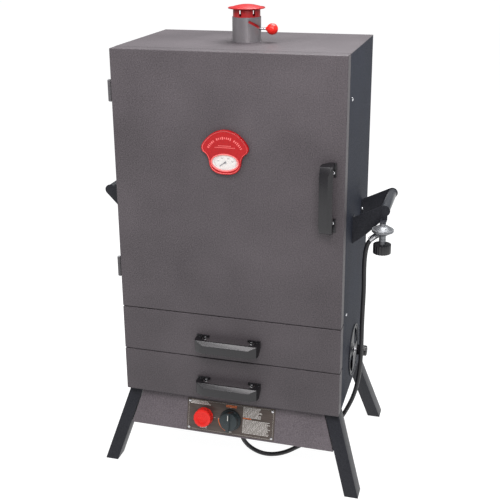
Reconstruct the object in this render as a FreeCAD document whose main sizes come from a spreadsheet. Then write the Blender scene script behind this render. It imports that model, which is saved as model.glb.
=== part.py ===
import FreeCAD, Part
import math
import os
import re
import Sketcher
from FreeCAD import Placement, Rotation, Vector

# Gas cabinet smoker on four splayed legs, in millimetres.
# +Z is up and the door faces -Y.  The origin is on the floor, at the centre of the footprint.
# The cabinet holds a door and two drawers at the front, a flue with a screw-lift cap on top,
# an air damper and a carrying handle on each side, and a gas burner under its floor.

document = FreeCAD.newDocument("CabinetSmoker")
sheet = document.addObject("Spreadsheet::Sheet", "Sizes")

SIZES = {
    # cabinet
    "cabinet_width": 610.0,
    "cabinet_depth": 406.0,
    "cabinet_height": 965.0,
    "gauge": 1.5,
    "door_thickness": 36.0,
    "seal_gap": 2.0,
    "drawer_pitch": 128.0,
    "seam": 2.0,
    "front_radius": 2.5,
    # stand
    "leg_height": 220.0,
    "foot_splay_x": 64.0,
    "foot_splay_y": 34.0,
    "leg_inset_x": 5.0,
    "leg_inset_y": 20.0,
    "leg_width": 37.0,
    "leg_flange": 45.0,
    "leg_gauge": 2.0,
    # handles on the door and drawers
    "handle_reach": 40.0,
    "handle_half": 90.0,
    "handle_bar": 32.0,
    "handle_tab": 5.0,
    "handle_screw": 65.0,
    # carrying handles
    "carry_reach": 83.0,
    "carry_radius": 12.5,
    "carry_height": 545.0,
    "carry_front": 138.0,
    "carry_span": 168.0,
    # air dampers
    "damper_radius": 74.0,
    "damper_height": 95.0,
    "damper_window": 62.0,
    "damper_hub": 18.0,
    # flue
    "flue_radius": 38.0,
    "flue_height": 64.0,
    "sleeve_radius": 36.0,
    "brim_radius": 49.0,
    "lever_height": 34.0,
    # racks
    "rack_wire": 3.0,
    "rack_rod": 2.0,
    "rack_half": 287.0,
    # gas train
    "hose_radius": 6.0,
    "stem_radius": 4.0,
    "burner_radius": 60.0,
    "nut_radius": 23.5,
}
SIZES["face_y"] = (SIZES["handle_reach"] - SIZES["cabinet_depth"] - SIZES["foot_splay_y"]) / 2.0

for row, (alias, value) in enumerate(SIZES.items(), start=1):
    sheet.set("A%d" % row, alias)
    sheet.set("B%d" % row, repr(value))
    sheet.setAlias("B%d" % row, alias)
document.recompute()

WORD = re.compile(r"\b(" + "|".join(sorted(SIZES, key=len, reverse=True)) + r")\b")
WIDTH = SIZES["cabinet_width"]
FACE = SIZES["face_y"]
BASE = SIZES["leg_height"]
GAUGE = SIZES["gauge"]
SIDES = (("left", -1), ("right", 1))
SUBPARTS = []


def bound(text):
    """Turn sizes named in plain words into references to the sheet."""
    return WORD.sub(r"Sizes.\1", str(text))


def place(thing, at, turn=None):
    """Give an object its rotation and bind its position to the sheet."""
    thing.Placement = Placement(Vector(0, 0, 0), turn or Rotation())
    for letter, text in zip("xyz", at):
        thing.setExpression(".Placement.Base." + letter, bound(text))
    return thing


def primitive(kind, sizes, at=(0, 0, 0), turn=None):
    thing = document.addObject("Part::" + kind, kind)
    for name, text in sizes.items():
        thing.setExpression(name, bound(text))
    return place(thing, at, turn)


def box(at, size, turn=None):
    return primitive("Box", dict(zip(("Length", "Width", "Height"), size)), at, turn)


ALONG = {
    "x": Rotation(Vector(0, 1, 0), 90),
    "y": Rotation(Vector(1, 0, 0), -90),
    "z": Rotation(),
}


def rod(at, radius, length, along="z"):
    return primitive("Cylinder", {"Radius": radius, "Height": length}, at, ALONG[along])


def cone(at, low, high, length, along="z"):
    sizes = {"Radius1": low, "Radius2": high, "Height": length}
    return primitive("Cone", sizes, at, ALONG[along])


def fuse(pieces):
    thing = document.addObject("Part::MultiFuse", "Fusion")
    thing.Shapes = pieces
    return thing


def cut(base, tools):
    thing = document.addObject("Part::Cut", "Cut")
    thing.Base = base
    thing.Tool = tools[0] if len(tools) == 1 else fuse(tools)
    return thing


def group(pieces):
    thing = document.addObject("Part::Compound", "Group")
    thing.Links = pieces
    return thing


def subpart(label, thing):
    """Name a finished piece: its label is the name of its file."""
    thing.Label = label
    SUBPARTS.append(thing)
    return thing


def new_sketch(body, plane):
    role = plane + "_Plane"
    origin = [item for item in body.Origin.OriginFeatures if item.Role == role][0]
    sketch = body.newObject("Sketcher::SketchObject", "Sketch")
    sketch.AttachmentSupport = (origin, [""])
    sketch.MapMode = "FlatFace"
    return sketch


def outline(sketch, points):
    """A closed outline of straight lines, each corner held by its two distances."""
    count = len(points)
    first = sketch.GeometryCount
    spots = []
    for index in range(count):
        angle = 2.0 * math.pi * index / count
        spots.append(Vector(math.cos(angle), math.sin(angle), 0))
    for index in range(count):
        sketch.addGeometry(Part.LineSegment(spots[index], spots[(index + 1) % count]), False)
    for index in range(count):
        after = first + (index + 1) % count
        sketch.addConstraint(Sketcher.Constraint("Coincident", first + index, 2, after, 1))
    for index, (across, up) in enumerate(points):
        for kind, text, spot in (("DistanceX", across, spots[index].x), ("DistanceY", up, spots[index].y)):
            number = sketch.addConstraint(Sketcher.Constraint(kind, -1, 1, first + index, 1, spot))
            sketch.setExpression("Constraints[%d]" % number, bound(text))


def padded(plane, points, length, direction=None):
    """A body with one outline padded; direction gives a slanting pad."""
    body = document.addObject("PartDesign::Body", "Body")
    sketch = new_sketch(body, plane)
    outline(sketch, points)
    pad = body.newObject("PartDesign::Pad", "Pad")
    pad.Profile = sketch
    pad.setExpression("Length", bound(length))
    if direction:
        pad.UseCustomVector = True
        pad.Direction = direction
        pad.AlongSketchNormal = True
    sketch.Visibility = False
    return body


def panel_y(offset):
    """A distance behind the door's face."""
    return "face_y + %s" % offset


def cabinet_z(offset):
    """A height above the underside of the cabinet."""
    return "leg_height + %s" % offset


# ---------------------------------------------------------------- cabinet shell

def damper_windows(side, sign, wide, reach, half_angle, lead):
    """The two fan-shaped windows of an air damper, as one tool that runs along X."""
    start = "%d * cabinet_width / 2 - %s / 2" % (sign, wide)
    at = (start, panel_y("cabinet_depth / 2 + seal_gap * 8"), cabinet_z("damper_height"))
    fans = []
    for middle in (0.0, 180.0):
        turn = Rotation(Vector(0, 1, 0), 90).multiply(Rotation(Vector(0, 0, 1), middle - half_angle + lead))
        sizes = {"Radius": reach, "Height": wide, "Angle": 2.0 * half_angle}
        fans.append(primitive("Cylinder", sizes, at, turn))
    hub = rod(at, "damper_hub", wide, "x")
    return cut(fuse(fans), [hub])


BOLT_RADIUS = 2.5
BOLT_HEAD = 5.0
DAMPER_Y = panel_y("cabinet_depth / 2 + seal_gap * 8")
WINDOW_HALF_ANGLE = 40.0
WINDOW_LEAD = -20.0
SHUTTER_LEAD = -50.0
CARRY_BOLT_DROPS = (49.0, 82.0)
CARRY_BOLT_IN = 12.0
CATCH_HEIGHTS = (268.0, 848.0)
CATCH_BOLT_Y = 76.0


def side_bolt_spots(sign):
    """Where bolts pass through a side wall: distance behind the face, height."""
    spots = []
    for offset in ("carry_front + %s" % CARRY_BOLT_IN, "carry_front + carry_span - %s" % CARRY_BOLT_IN):
        for drop in CARRY_BOLT_DROPS:
            spots.append((offset, "carry_height - %s" % drop))
    if sign > 0:
        for height in CATCH_HEIGHTS:
            spots.append((CATCH_BOLT_Y, height))
    return spots


def make_side(side, sign):
    inner = "cabinet_width / 2 - gauge" if sign > 0 else "-cabinet_width / 2"
    at = (inner, panel_y("door_thickness + seal_gap"), cabinet_z("gauge"))
    size = ("gauge", "cabinet_depth - door_thickness - seal_gap - gauge", "cabinet_height - 2 * gauge")
    tools = [damper_windows(side, sign, "gauge * 8", "damper_window", WINDOW_HALF_ANGLE, WINDOW_LEAD)]
    start = "%d * cabinet_width / 2 - 10" % sign
    tools.append(rod((start, DAMPER_Y, cabinet_z("damper_height")), "stem_radius + 0.3", 20, "x"))
    for offset, height in side_bolt_spots(sign):
        tools.append(rod((start, panel_y(offset), cabinet_z(height)), BOLT_RADIUS, 20, "x"))
    return subpart("cabinet_%s_side" % side, cut(box(at, size), tools))


for name, direction_x in SIDES:
    make_side(name, direction_x)

inside_depth = "cabinet_depth - door_thickness - seal_gap"
subpart("cabinet_back", box(
    ("-cabinet_width / 2", panel_y("cabinet_depth - gauge"), cabinet_z("gauge")),
    ("cabinet_width", "gauge", "cabinet_height - 2 * gauge")))

top_sheet = box(
    ("-cabinet_width / 2", panel_y("door_thickness + seal_gap"), cabinet_z("cabinet_height - gauge")),
    ("cabinet_width", inside_depth, "gauge"))
flue_spot = (0, panel_y("cabinet_depth / 2"), cabinet_z("cabinet_height - 20"))
subpart("cabinet_top", cut(top_sheet, [rod(flue_spot, "flue_radius", 40)]))

# The legs stand under the floor's corners, each held by two bolts side by side.
LEG_BOLT_IN = 32.0
LEG_BOLT_APART = 18.0
leg_bolt_spots = []
for ignored, direction_x in SIDES:
    for direction_y in (-1, 1):
        for shift in (-LEG_BOLT_APART / 2, LEG_BOLT_APART / 2):
            across = "%d * (cabinet_width / 2 - leg_inset_x - leg_width / 2) + %s" % (direction_x, shift)
            if direction_y < 0:
                along = "leg_inset_y + %s" % LEG_BOLT_IN
            else:
                along = "cabinet_depth - leg_inset_y - %s" % LEG_BOLT_IN
            leg_bolt_spots.append((across, panel_y(along)))

BURNER_HOLE = 105.0
floor_sheet = box(
    ("-cabinet_width / 2", panel_y("door_thickness + seal_gap"), "leg_height"),
    ("cabinet_width", inside_depth, "gauge"))
floor_tools = [rod((0, panel_y("cabinet_depth / 2 + 20"), "leg_height - 10"), BURNER_HOLE, 20)]
for across, along in leg_bolt_spots:
    floor_tools.append(rod((across, along, "leg_height - 10"), BOLT_RADIUS, 20))
subpart("cabinet_bottom", cut(floor_sheet, floor_tools))

# The front frame is one sheet with an opening for the chamber and one for each drawer.
OPENING_HALF = 285.0
OPENINGS = ((10.0, 118.0), (138.0, 247.0), (268.0, 945.0))
frame_tools = []
for low, high in OPENINGS:
    frame_tools.append(box(
        (-OPENING_HALF, panel_y("door_thickness"), cabinet_z(low)),
        (2 * OPENING_HALF, "gauge + 10", high - low)))
frame_sheet = box(
    ("-cabinet_width / 2 + gauge", panel_y("door_thickness + seal_gap"), cabinet_z("gauge")),
    ("cabinet_width - 2 * gauge", "gauge", "cabinet_height - 2 * gauge"))
subpart("front_frame", cut(frame_sheet, frame_tools))


# ---------------------------------------------------------------- fronts

def rounded_pan(low, high):
    """A pressed front: its face and its four returns, open at the back."""
    block = box(
        ("-cabinet_width / 2", panel_y(0), cabinet_z(low)),
        ("cabinet_width", "door_thickness", "(%s) - (%s)" % (high, low)))
    document.recompute()
    rounded = document.addObject("Part::Fillet", "Fillet")
    rounded.Base = block
    back = FACE + SIZES["door_thickness"]
    edges = []
    for index, edge in enumerate(block.Shape.Edges, start=1):
        if edge.BoundBox.YMin < back - 1.0:
            edges.append((index, SIZES["front_radius"], SIZES["front_radius"]))
    rounded.Edges = edges
    hollow = box(
        ("-cabinet_width / 2 + gauge", panel_y("gauge"), cabinet_z("%s + gauge" % low)),
        ("cabinet_width - 2 * gauge", "door_thickness", "(%s) - (%s) - 2 * gauge" % (high, low)))
    return rounded, hollow


def back_sheet(low, high):
    """The flat sheet that closes a front from behind."""
    return box(
        ("-cabinet_width / 2 + gauge", panel_y("door_thickness - gauge"), cabinet_z("%s + gauge" % low)),
        ("cabinet_width - 2 * gauge", "gauge", "(%s) - (%s) - 2 * gauge" % (high, low)))


SCREW_RADIUS = 2.0
SCREW_HEAD = 4.5
TAB_THICK = 4.0
HANDLE_NARROW = 19.0
TAB_SCREW_UP = 29.0
DOOR_HANDLE = ("cabinet_width / 2 - 57.5", panel_y(0), cabinet_z(614.5))
DOOR_TURN = Rotation(Vector(0, 1, 0), 90)
DRAWER_HANDLE_Z = 33.0


def screw_holes(spots):
    """Holes for handle screws through a front's skin."""
    return [rod((across, panel_y(-5), up), SCREW_RADIUS, 12, "y") for across, up in spots]


def make_handle(label, at, turn=None):
    """A bridge handle: a straight bar with a sloping top, on arms that narrow towards two screwed feet."""
    bridge = padded("XY", [
        ("-handle_half", 0), ("-handle_half", -20), ("-handle_half + 5", -31),
        ("-handle_half + 26", "-handle_reach"), ("handle_half - 26", "-handle_reach"),
        ("handle_half - 5", -31), ("handle_half", -20), ("handle_half", 0),
        ("handle_half - 15", 0), ("handle_half - 15", -16), ("handle_half - 30", "-handle_reach + 14"),
        ("-handle_half + 30", "-handle_reach + 14"), ("-handle_half + 15", -16), ("-handle_half + 15", 0),
    ], "handle_bar")
    under = padded("YZ", [(1, -1), (-26, -1), (-26, 0), (1, HANDLE_NARROW)], "2 * handle_half + 2")
    over = padded("YZ", [
        ("-handle_reach - 1", "handle_bar - 11"), ("-handle_reach + 11", "handle_bar + 1"),
        ("-handle_reach - 1", "handle_bar + 1")], "2 * handle_half + 2")
    trims = [place(under, ("-handle_half - 1", 0, 0)), place(over, ("-handle_half - 1", 0, 0))]
    tabs = []
    holes = []
    for sign in (-1, 1):
        tabs.append(box(
            ("%d * (handle_half - 18) - 18" % sign, -TAB_THICK, "handle_bar - 1"),
            (36, TAB_THICK, "handle_tab + 1")))
        holes.append(rod(("%d * handle_screw" % sign, -10, TAB_SCREW_UP), SCREW_RADIUS, 20, "y"))
    return subpart(label, place(cut(fuse([bridge] + tabs), trims + holes), at, turn))


def make_handle_screws(label, at, turn=None):
    """Two dome-head screws that hold a handle's feet."""
    pieces = []
    for sign in (-1, 1):
        across = "%d * handle_screw" % sign
        shank = rod((across, -TAB_THICK, TAB_SCREW_UP), SCREW_RADIUS, TAB_THICK + 5.0, "y")
        head = cone((across, -TAB_THICK - 2.4, TAB_SCREW_UP), SCREW_HEAD - 1.6, SCREW_HEAD, 2.4, "y")
        pieces.append(fuse([shank, head]))
    return subpart(label, place(group(pieces), at, turn))


# The door: a pressed panel, an inner liner that closes it, and a rope seal.
DOOR_LOW = "2 * drawer_pitch + seam / 2"
PROBE_RADIUS = 3.0
DIAL_Z = 688.0
door_outer, door_hollow = rounded_pan(DOOR_LOW, "cabinet_height")
probe_hole = rod((0, panel_y(-5), cabinet_z(DIAL_Z)), PROBE_RADIUS, 60, "y")
door_spots = []
for sign in (-1, 1):
    height = cabinet_z("614.5 + %d * handle_screw" % sign)
    door_spots.append(("cabinet_width / 2 - 57.5 + %s" % TAB_SCREW_UP, height))
subpart("door_panel", cut(door_outer, [door_hollow, probe_hole] + screw_holes(door_spots)))
liner_hole = rod((0, panel_y(0), cabinet_z(DIAL_Z)), PROBE_RADIUS, 60, "y")
subpart("door_liner", cut(back_sheet(DOOR_LOW, "cabinet_height"), [liner_hole]))

SEAL_WIDE = 9.0
SEAL_THICK = 1.6
seal_out = box((-300, panel_y("door_thickness"), cabinet_z(259)), (600, SEAL_THICK, 700))
seal_in = box(
    (-300 + SEAL_WIDE, panel_y("door_thickness - 1"), cabinet_z(259 + SEAL_WIDE)),
    (600 - 2 * SEAL_WIDE, SEAL_THICK + 2, 700 - 2 * SEAL_WIDE))
subpart("door_seal", cut(seal_out, [seal_in]))

make_handle("door_handle", DOOR_HANDLE, DOOR_TURN)
make_handle_screws("door_handle_screws", DOOR_HANDLE, DOOR_TURN)

# The hinges: knuckles outside the door's left edge, one pair near each end.
HINGE_HEIGHTS = (372.0, 856.0)
HINGE_HALF = 27.0
KNUCKLE_RADIUS = 5.0
KNUCKLE_SPLIT = 10.0
PIN_RADIUS = 2.0
hinge_x = "-cabinet_width / 2 - 5.5"
hinge_y = panel_y(KNUCKLE_RADIUS)


def knuckle(low, length):
    shell = rod((hinge_x, hinge_y, low), KNUCKLE_RADIUS, length)
    return shell


def make_hinges():
    fixed = []
    moving = []
    pins = []
    for middle in HINGE_HEIGHTS:
        bore = rod((hinge_x, hinge_y, cabinet_z(middle - 40)), PIN_RADIUS + 0.06, 80)
        leaf = [box(
            ("-cabinet_width / 2 - 1.8", panel_y(40), cabinet_z(middle - HINGE_HALF)),
            (1.8, 24, 2 * HINGE_HALF))]
        for low in (-HINGE_HALF, KNUCKLE_SPLIT):
            reach = HINGE_HALF - KNUCKLE_SPLIT
            leaf.append(box(
                ("-cabinet_width / 2 - 1.8", hinge_y, cabinet_z(middle + low)), (1.4, 40, reach)))
            leaf.append(knuckle(cabinet_z(middle + low), reach))
        fixed.append(cut(fuse(leaf), [bore]))
        tall = 2 * KNUCKLE_SPLIT - 0.6
        low = cabinet_z(middle - KNUCKLE_SPLIT + 0.3)
        plate = box(("-cabinet_width / 2 - 1.8", hinge_y, low), (1.8, 24, tall))
        moving.append(cut(fuse([plate, knuckle(low, tall)]), [bore]))
        pin = [rod((hinge_x, hinge_y, cabinet_z(middle - 28)), PIN_RADIUS, 56)]
        for end in (-29, 27):
            pin.append(rod((hinge_x, hinge_y, cabinet_z(middle + end)), 3.4, 2))
        pins.append(fuse(pin))
    subpart("hinge_cabinet_leaves", group(fixed))
    subpart("hinge_door_leaves", group(moving))
    subpart("hinge_pins", group(pins))


make_hinges()

# The thermometer: an arched plate round an oval dial, a needle and a probe through the door.
# Half of the plate's outline, from the top to the bottom, as distance from the middle and height.
PLATE_EDGE = (
    (0, 772), (16, 769.5), (32, 762.5), (46, 751), (56, 739.5), (61.5, 729), (61.5, 721.5), (58.5, 715),
    (53, 711), (48, 705.5), (44.5, 698.5), (42.5, 691), (41.5, 684), (39.5, 676), (35, 668.5),
    (28, 662.5), (19, 658.8), (9.5, 657.2), (0, 657))
PLATE_MIDDLE = 714.0
PLATE_THICK = 9.0
DIAL_WIDE = 34.0
DIAL_TALL = 20.0


def plate_slab(scale, thick):
    """The plate's whole outline, drawn about its middle, as thick as asked."""
    half = [(x * scale, PLATE_MIDDLE + (z - PLATE_MIDDLE) * scale) for x, z in PLATE_EDGE]
    whole = half + [(-x, z) for x, z in reversed(half[1:-1])]
    return place(padded("XZ", whole, thick), (0, panel_y(0), "leg_height"))


def dial_disc(front, thick, trim):
    """An oval disc in the dial's opening; front is its distance in front of the door."""
    oval = document.addObject("Part::Ellipse", "Ellipse")
    oval.MajorRadius = DIAL_WIDE - trim
    oval.MinorRadius = DIAL_TALL - trim
    solid = document.addObject("Part::Extrusion", "Extrude")
    solid.Base = oval
    solid.DirMode = "Custom"
    solid.Dir = Vector(0, 0, 1)
    solid.LengthFwd = thick
    solid.Solid = True
    return place(solid, (0, panel_y(-front), cabinet_z(DIAL_Z)), Rotation(Vector(1, 0, 0), -90))


rim = cut(plate_slab(1.0, PLATE_THICK + 1.6), [plate_slab(0.93, PLATE_THICK + 3.0)])
badge = fuse([plate_slab(0.97, PLATE_THICK), rim])
subpart("thermometer_plate", cut(badge, [
    dial_disc(PLATE_THICK + 5.0, 9.0, 0.0),
    rod((0, panel_y(-PLATE_THICK), cabinet_z(DIAL_Z)), PROBE_RADIUS, 30, "y")]))
subpart("thermometer_dial", cut(dial_disc(6.0, 1.0, 0.0), [
    rod((0, panel_y(-PLATE_THICK), cabinet_z(DIAL_Z)), PROBE_RADIUS, 30, "y")]))
subpart("thermometer_lens", dial_disc(PLATE_THICK, 0.8, 0.0))
NEEDLE_ANGLE = 214.0
needle_blade = box((-3, -0.4, -0.9), (20, 0.8, 1.8))
needle_cap = rod((0, -0.9, 0), 2.6, 1.5, "y")
subpart("thermometer_needle", place(
    fuse([needle_blade, needle_cap]),
    (0, panel_y(-7.0), cabinet_z(DIAL_Z)), Rotation(Vector(0, 1, 0), -NEEDLE_ANGLE)))
subpart("thermometer_probe", rod((0, panel_y(-6.0), cabinet_z(DIAL_Z)), PROBE_RADIUS, 100, "y"))

# Magnetic catches hold the door from just behind the front frame.
catches = []
for height in CATCH_HEIGHTS:
    body = box(
        ("cabinet_width / 2 - gauge - 16", panel_y("door_thickness + seal_gap + gauge + 1"),
         cabinet_z(height - 10)), (16, 52, 40))
    catches.append(cut(body, [
        rod(("cabinet_width / 2 - 20", panel_y(CATCH_BOLT_Y), cabinet_z(height)), BOLT_RADIUS, 30, "x")]))
subpart("magnetic_catches", group(catches))


# ---------------------------------------------------------------- drawers

BOX_HALF = 280.0
BOX_LONG = 330.0
BOX_TALL = 90.0
BOX_WALL = 1.2
RUNNER_HEIGHTS = (16.0, 146.0)
RUNNER_LIFT = 0.3


def tray(low_corner, size, wall):
    """An open-topped box of folded sheet."""
    outer = box(low_corner, size)
    inside = tuple("%s + %s" % (value, wall) for value in low_corner)
    room = ("%s - %s" % (size[0], 2 * wall), "%s - %s" % (size[1], 2 * wall), size[2])
    return cut(outer, [box(inside, room)])


def make_drawer(label, number, floor_hole=None):
    low = "%d * drawer_pitch + seam / 2" % number
    high = "%d * drawer_pitch - seam / 2" % (number + 1)
    outer, hollow = rounded_pan(low, high)
    spots = []
    for sign in (-1, 1):
        up = "%d * drawer_pitch + %s" % (number, DRAWER_HANDLE_Z + TAB_SCREW_UP)
        spots.append(("%d * handle_screw" % sign, cabinet_z(up)))
    front = cut(outer, [hollow] + screw_holes(spots))
    bin_low = RUNNER_HEIGHTS[number] + RUNNER_LIFT
    corner = (-BOX_HALF, panel_y("door_thickness - gauge"), cabinet_z(bin_low))
    bin_box = tray(corner, (2 * BOX_HALF, BOX_LONG, BOX_TALL), BOX_WALL)
    drawer = fuse([front, back_sheet(low, high), bin_box])
    if floor_hole:
        drawer = cut(drawer, [floor_hole])
    subpart(label + "_drawer", drawer)
    at = (0, panel_y(0), cabinet_z("%d * drawer_pitch + %s" % (number, DRAWER_HANDLE_Z)))
    make_handle(label + "_drawer_handle", at)
    make_handle_screws(label + "_drawer_screws", at)


heat_hole = rod((0, panel_y("cabinet_depth / 2 + 20"), cabinet_z(RUNNER_HEIGHTS[0] - 2)), 85, 6)
make_drawer("lower", 0, heat_hole)
make_drawer("upper", 1)


def make_pan(label, number, half, front, long, tall):
    """A lift-out pan that stands on a drawer's floor, with a turned-out rim."""
    floor = RUNNER_HEIGHTS[number] + RUNNER_LIFT + BOX_WALL
    body = tray((-half, panel_y(front), cabinet_z(floor)), (2 * half, long, tall), 1.5)
    rim_out = box(
        (-half - 8, panel_y(front - 8), cabinet_z(floor + tall - 1.5)),
        (2 * half + 16, long + 16, 1.5))
    rim_in = box(
        (-half + 1, panel_y(front + 1), cabinet_z(floor + tall - 3)),
        (2 * half - 2, long - 2, 6))
    return subpart(label, fuse([body, cut(rim_out, [rim_in])]))


make_pan("wood_chip_box", 0, 110.0, 130.0, 190.0, 62.0)
make_pan("water_pan", 1, 185.0, 80.0, 250.0, 58.0)


def angle_rail(sign, low, front, long, ledge, web):
    """An L-shaped rail on the inside of a side wall."""
    wall = "cabinet_width / 2 - gauge"
    shelf_x = "%s - %s" % (wall, ledge) if sign > 0 else "-(%s)" % wall
    web_x = "%s - 1.5" % wall if sign > 0 else "-(%s)" % wall
    shelf = box((shelf_x, panel_y(front), cabinet_z(low - 1.5)), (ledge, long, 1.5))
    upright = box((web_x, panel_y(front), cabinet_z(low - 1.5)), (1.5, long, web))
    return fuse([shelf, upright])


runners = []
for low in RUNNER_HEIGHTS:
    for ignored, direction_x in SIDES:
        runners.append(angle_rail(direction_x, low, 42.0, 355.0, 30.0, 20.0))
subpart("drawer_runners", group(runners))

# Cooking racks rest on rails at three heights.
RACK_HEIGHTS = (330.0, 520.0, 710.0)
RACK_FRONT = 66.0
RACK_LONG = 322.0
RACK_RODS = 24
rails = []
for low in RACK_HEIGHTS:
    for ignored, direction_x in SIDES:
        rails.append(angle_rail(direction_x, low, 84.0, 306.0, 22.0, 14.0))
subpart("rack_rails", group(rails))


def make_rack():
    """A wire rack: a round-cornered frame, rods from front to back and one stiffener."""
    level = cabinet_z("%s + rack_wire" % RACK_HEIGHTS[0])
    pieces = []
    for along in (RACK_FRONT, RACK_FRONT + RACK_LONG):
        pieces.append(rod(("-rack_half", panel_y(along), level), "rack_wire", "2 * rack_half", "x"))
        for sign in (-1, 1):
            ball = primitive("Sphere", {"Radius": "rack_wire"})
            pieces.append(place(ball, ("%d * rack_half" % sign, panel_y(along), level)))
    for sign in (-1, 1):
        pieces.append(rod(("%d * rack_half" % sign, panel_y(RACK_FRONT), level), "rack_wire", RACK_LONG, "y"))
    pieces.append(rod(
        ("-rack_half", panel_y(RACK_FRONT + RACK_LONG / 2), level), "rack_rod", "2 * rack_half", "x"))
    for index in range(1, RACK_RODS):
        across = "rack_half * (2 * %d / %d - 1)" % (index, RACK_RODS)
        raised = level + " + 2.5"
        pieces.append(rod((across, panel_y(RACK_FRONT), raised), "rack_rod", RACK_LONG, "y"))
    return fuse(pieces)


first_rack = subpart("cooking_rack_1", make_rack())
for index in (1, 2):
    lifted = place(group([first_rack]), (0, 0, RACK_HEIGHTS[index] - RACK_HEIGHTS[0]))
    subpart("cooking_rack_%d" % (index + 1), lifted)


# ---------------------------------------------------------------- flue

FLUE_Y = panel_y("cabinet_depth / 2")
LEVER_ANGLE = 83.0
SLOT_SWEEP = 56.0
SLOT_RISE = 19.0
SLOT_STEPS = 24
SLOT_RADIUS = 3.6
LEVER_RADIUS = 3.0
SLEEVE_WINDOWS = 6
DOME_RISE = 11.0


def outward(angle):
    """The turn that lays a rod along an outward direction, measured from the door's side."""
    return Rotation(Vector(0, 0, 1), angle - 90.0).multiply(Rotation(Vector(0, 1, 0), 90))


pipe = cut(
    fuse([
        rod((0, FLUE_Y, cabinet_z("cabinet_height - 14")), "flue_radius", "flue_height + 14"),
        rod((0, FLUE_Y, cabinet_z("cabinet_height - gauge - 2")), "flue_radius + 9", 2)]),
    [rod((0, FLUE_Y, cabinet_z("cabinet_height - 20")), "flue_radius - 1.5", "flue_height + 40")])
slot_tools = []
for step in range(SLOT_STEPS + 1):
    share = step / SLOT_STEPS
    up = cabinet_z("cabinet_height + lever_height + %.3f" % (SLOT_RISE * share))
    sizes = {"Radius": SLOT_RADIUS, "Height": "flue_radius + 12"}
    slot_tools.append(primitive(
        "Cylinder", sizes, (0, FLUE_Y, up), outward(LEVER_ANGLE - SLOT_SWEEP * share)))
subpart("flue_pipe", cut(pipe, slot_tools))

lever_spot = (0, FLUE_Y, cabinet_z("cabinet_height + lever_height"))
sleeve = cut(
    rod((0, FLUE_Y, cabinet_z("cabinet_height + 20")), "sleeve_radius", 67.6),
    [rod((0, FLUE_Y, cabinet_z("cabinet_height + 10")), "sleeve_radius - 1.5", 90)])
window_tools = []
for index in range(SLEEVE_WINDOWS):
    turn = Rotation(Vector(0, 0, 1), -12.0 + index * 360.0 / SLEEVE_WINDOWS)
    at = turn.multVec(Vector(-3.0, 0, 0))
    start = ("%.4f" % at.x, FLUE_Y + " + %.4f" % at.y, cabinet_z("cabinet_height + 67"))
    swing = turn.multiply(Rotation(Vector(0, 0, 1), -90))
    window_tools.append(box(start, (50, 6, 15), swing))
window_tools.append(primitive(
    "Cylinder", {"Radius": LEVER_RADIUS, "Height": 50}, lever_spot, outward(LEVER_ANGLE)))
subpart("flue_sleeve", cut(sleeve, window_tools))

dome_radius = (SIZES["brim_radius"] ** 2 + DOME_RISE ** 2) / (2.0 * DOME_RISE)
dome_centre = (0, FLUE_Y, cabinet_z("cabinet_height + 96 - %.4f" % dome_radius))
brim_latitude = math.degrees(math.asin((dome_radius - DOME_RISE) / dome_radius))
dome_out = primitive("Sphere", {"Radius": dome_radius, "Angle1": brim_latitude}, dome_centre)
dome_in = primitive("Sphere", {"Radius": dome_radius - 1.8}, dome_centre)
subpart("flue_cap", cut(dome_out, [dome_in]))


def on_lever(distance):
    """A point on the lever's axis, as a position bound to the sheet."""
    angle = math.radians(LEVER_ANGLE - 90.0)
    across = "%.4f" % (distance * math.cos(angle))
    along = FLUE_Y + " + %.4f" % (distance * math.sin(angle))
    return (across, along, cabinet_z("cabinet_height + lever_height"))


subpart("flue_lever", primitive(
    "Cylinder", {"Radius": LEVER_RADIUS, "Height": 30}, on_lever(32.0), outward(LEVER_ANGLE)))
ball = primitive("Sphere", {"Radius": 15}, on_lever(72.0))
subpart("flue_ball", cut(ball, [primitive(
    "Cylinder", {"Radius": LEVER_RADIUS, "Height": 30}, on_lever(32.0), outward(LEVER_ANGLE))]))


# ---------------------------------------------------------------- side dampers and handles

def make_damper(side, sign):
    """A turning disc with fan-shaped windows outside the wall, and its knob."""
    wall = "%d * cabinet_width / 2" % sign
    near = "%s + 0.3" % wall if sign > 0 else "%s - 1.8" % wall
    at = (near, DAMPER_Y, cabinet_z("damper_height"))
    disc = rod(at, "damper_radius", 1.5, "x")
    lip_at = at if sign > 0 else ("%s - 3.3" % wall, at[1], at[2])
    lip = cut(rod(lip_at, "damper_radius", 3.0, "x"), [rod(lip_at, "damper_radius - 3", 3.0, "x")])
    tools = [damper_windows(side, sign, 20, "damper_window", WINDOW_HALF_ANGLE, SHUTTER_LEAD)]
    tools.append(rod(("%s - 10" % wall, at[1], at[2]), "stem_radius", 20, "x"))
    subpart("%s_damper_disc" % side, cut(fuse([disc, lip]), tools))
    pieces = []
    for low, high, radius in ((-9.0, 40.0, "stem_radius"), (-9.0, -2.0, 8.0), (12.0, 40.0, 15.0),
                              (1.8, 5.0, 9.0)):
        start = low if sign > 0 else -high
        pieces.append(rod(("%s + %s" % (wall, start), at[1], at[2]), radius, high - low, "x"))
    subpart("%s_damper_knob" % side, fuse(pieces))


for name, direction_x in SIDES:
    make_damper(name, direction_x)

PLATE = 2.0
HANGER_Y = 114.0


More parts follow.
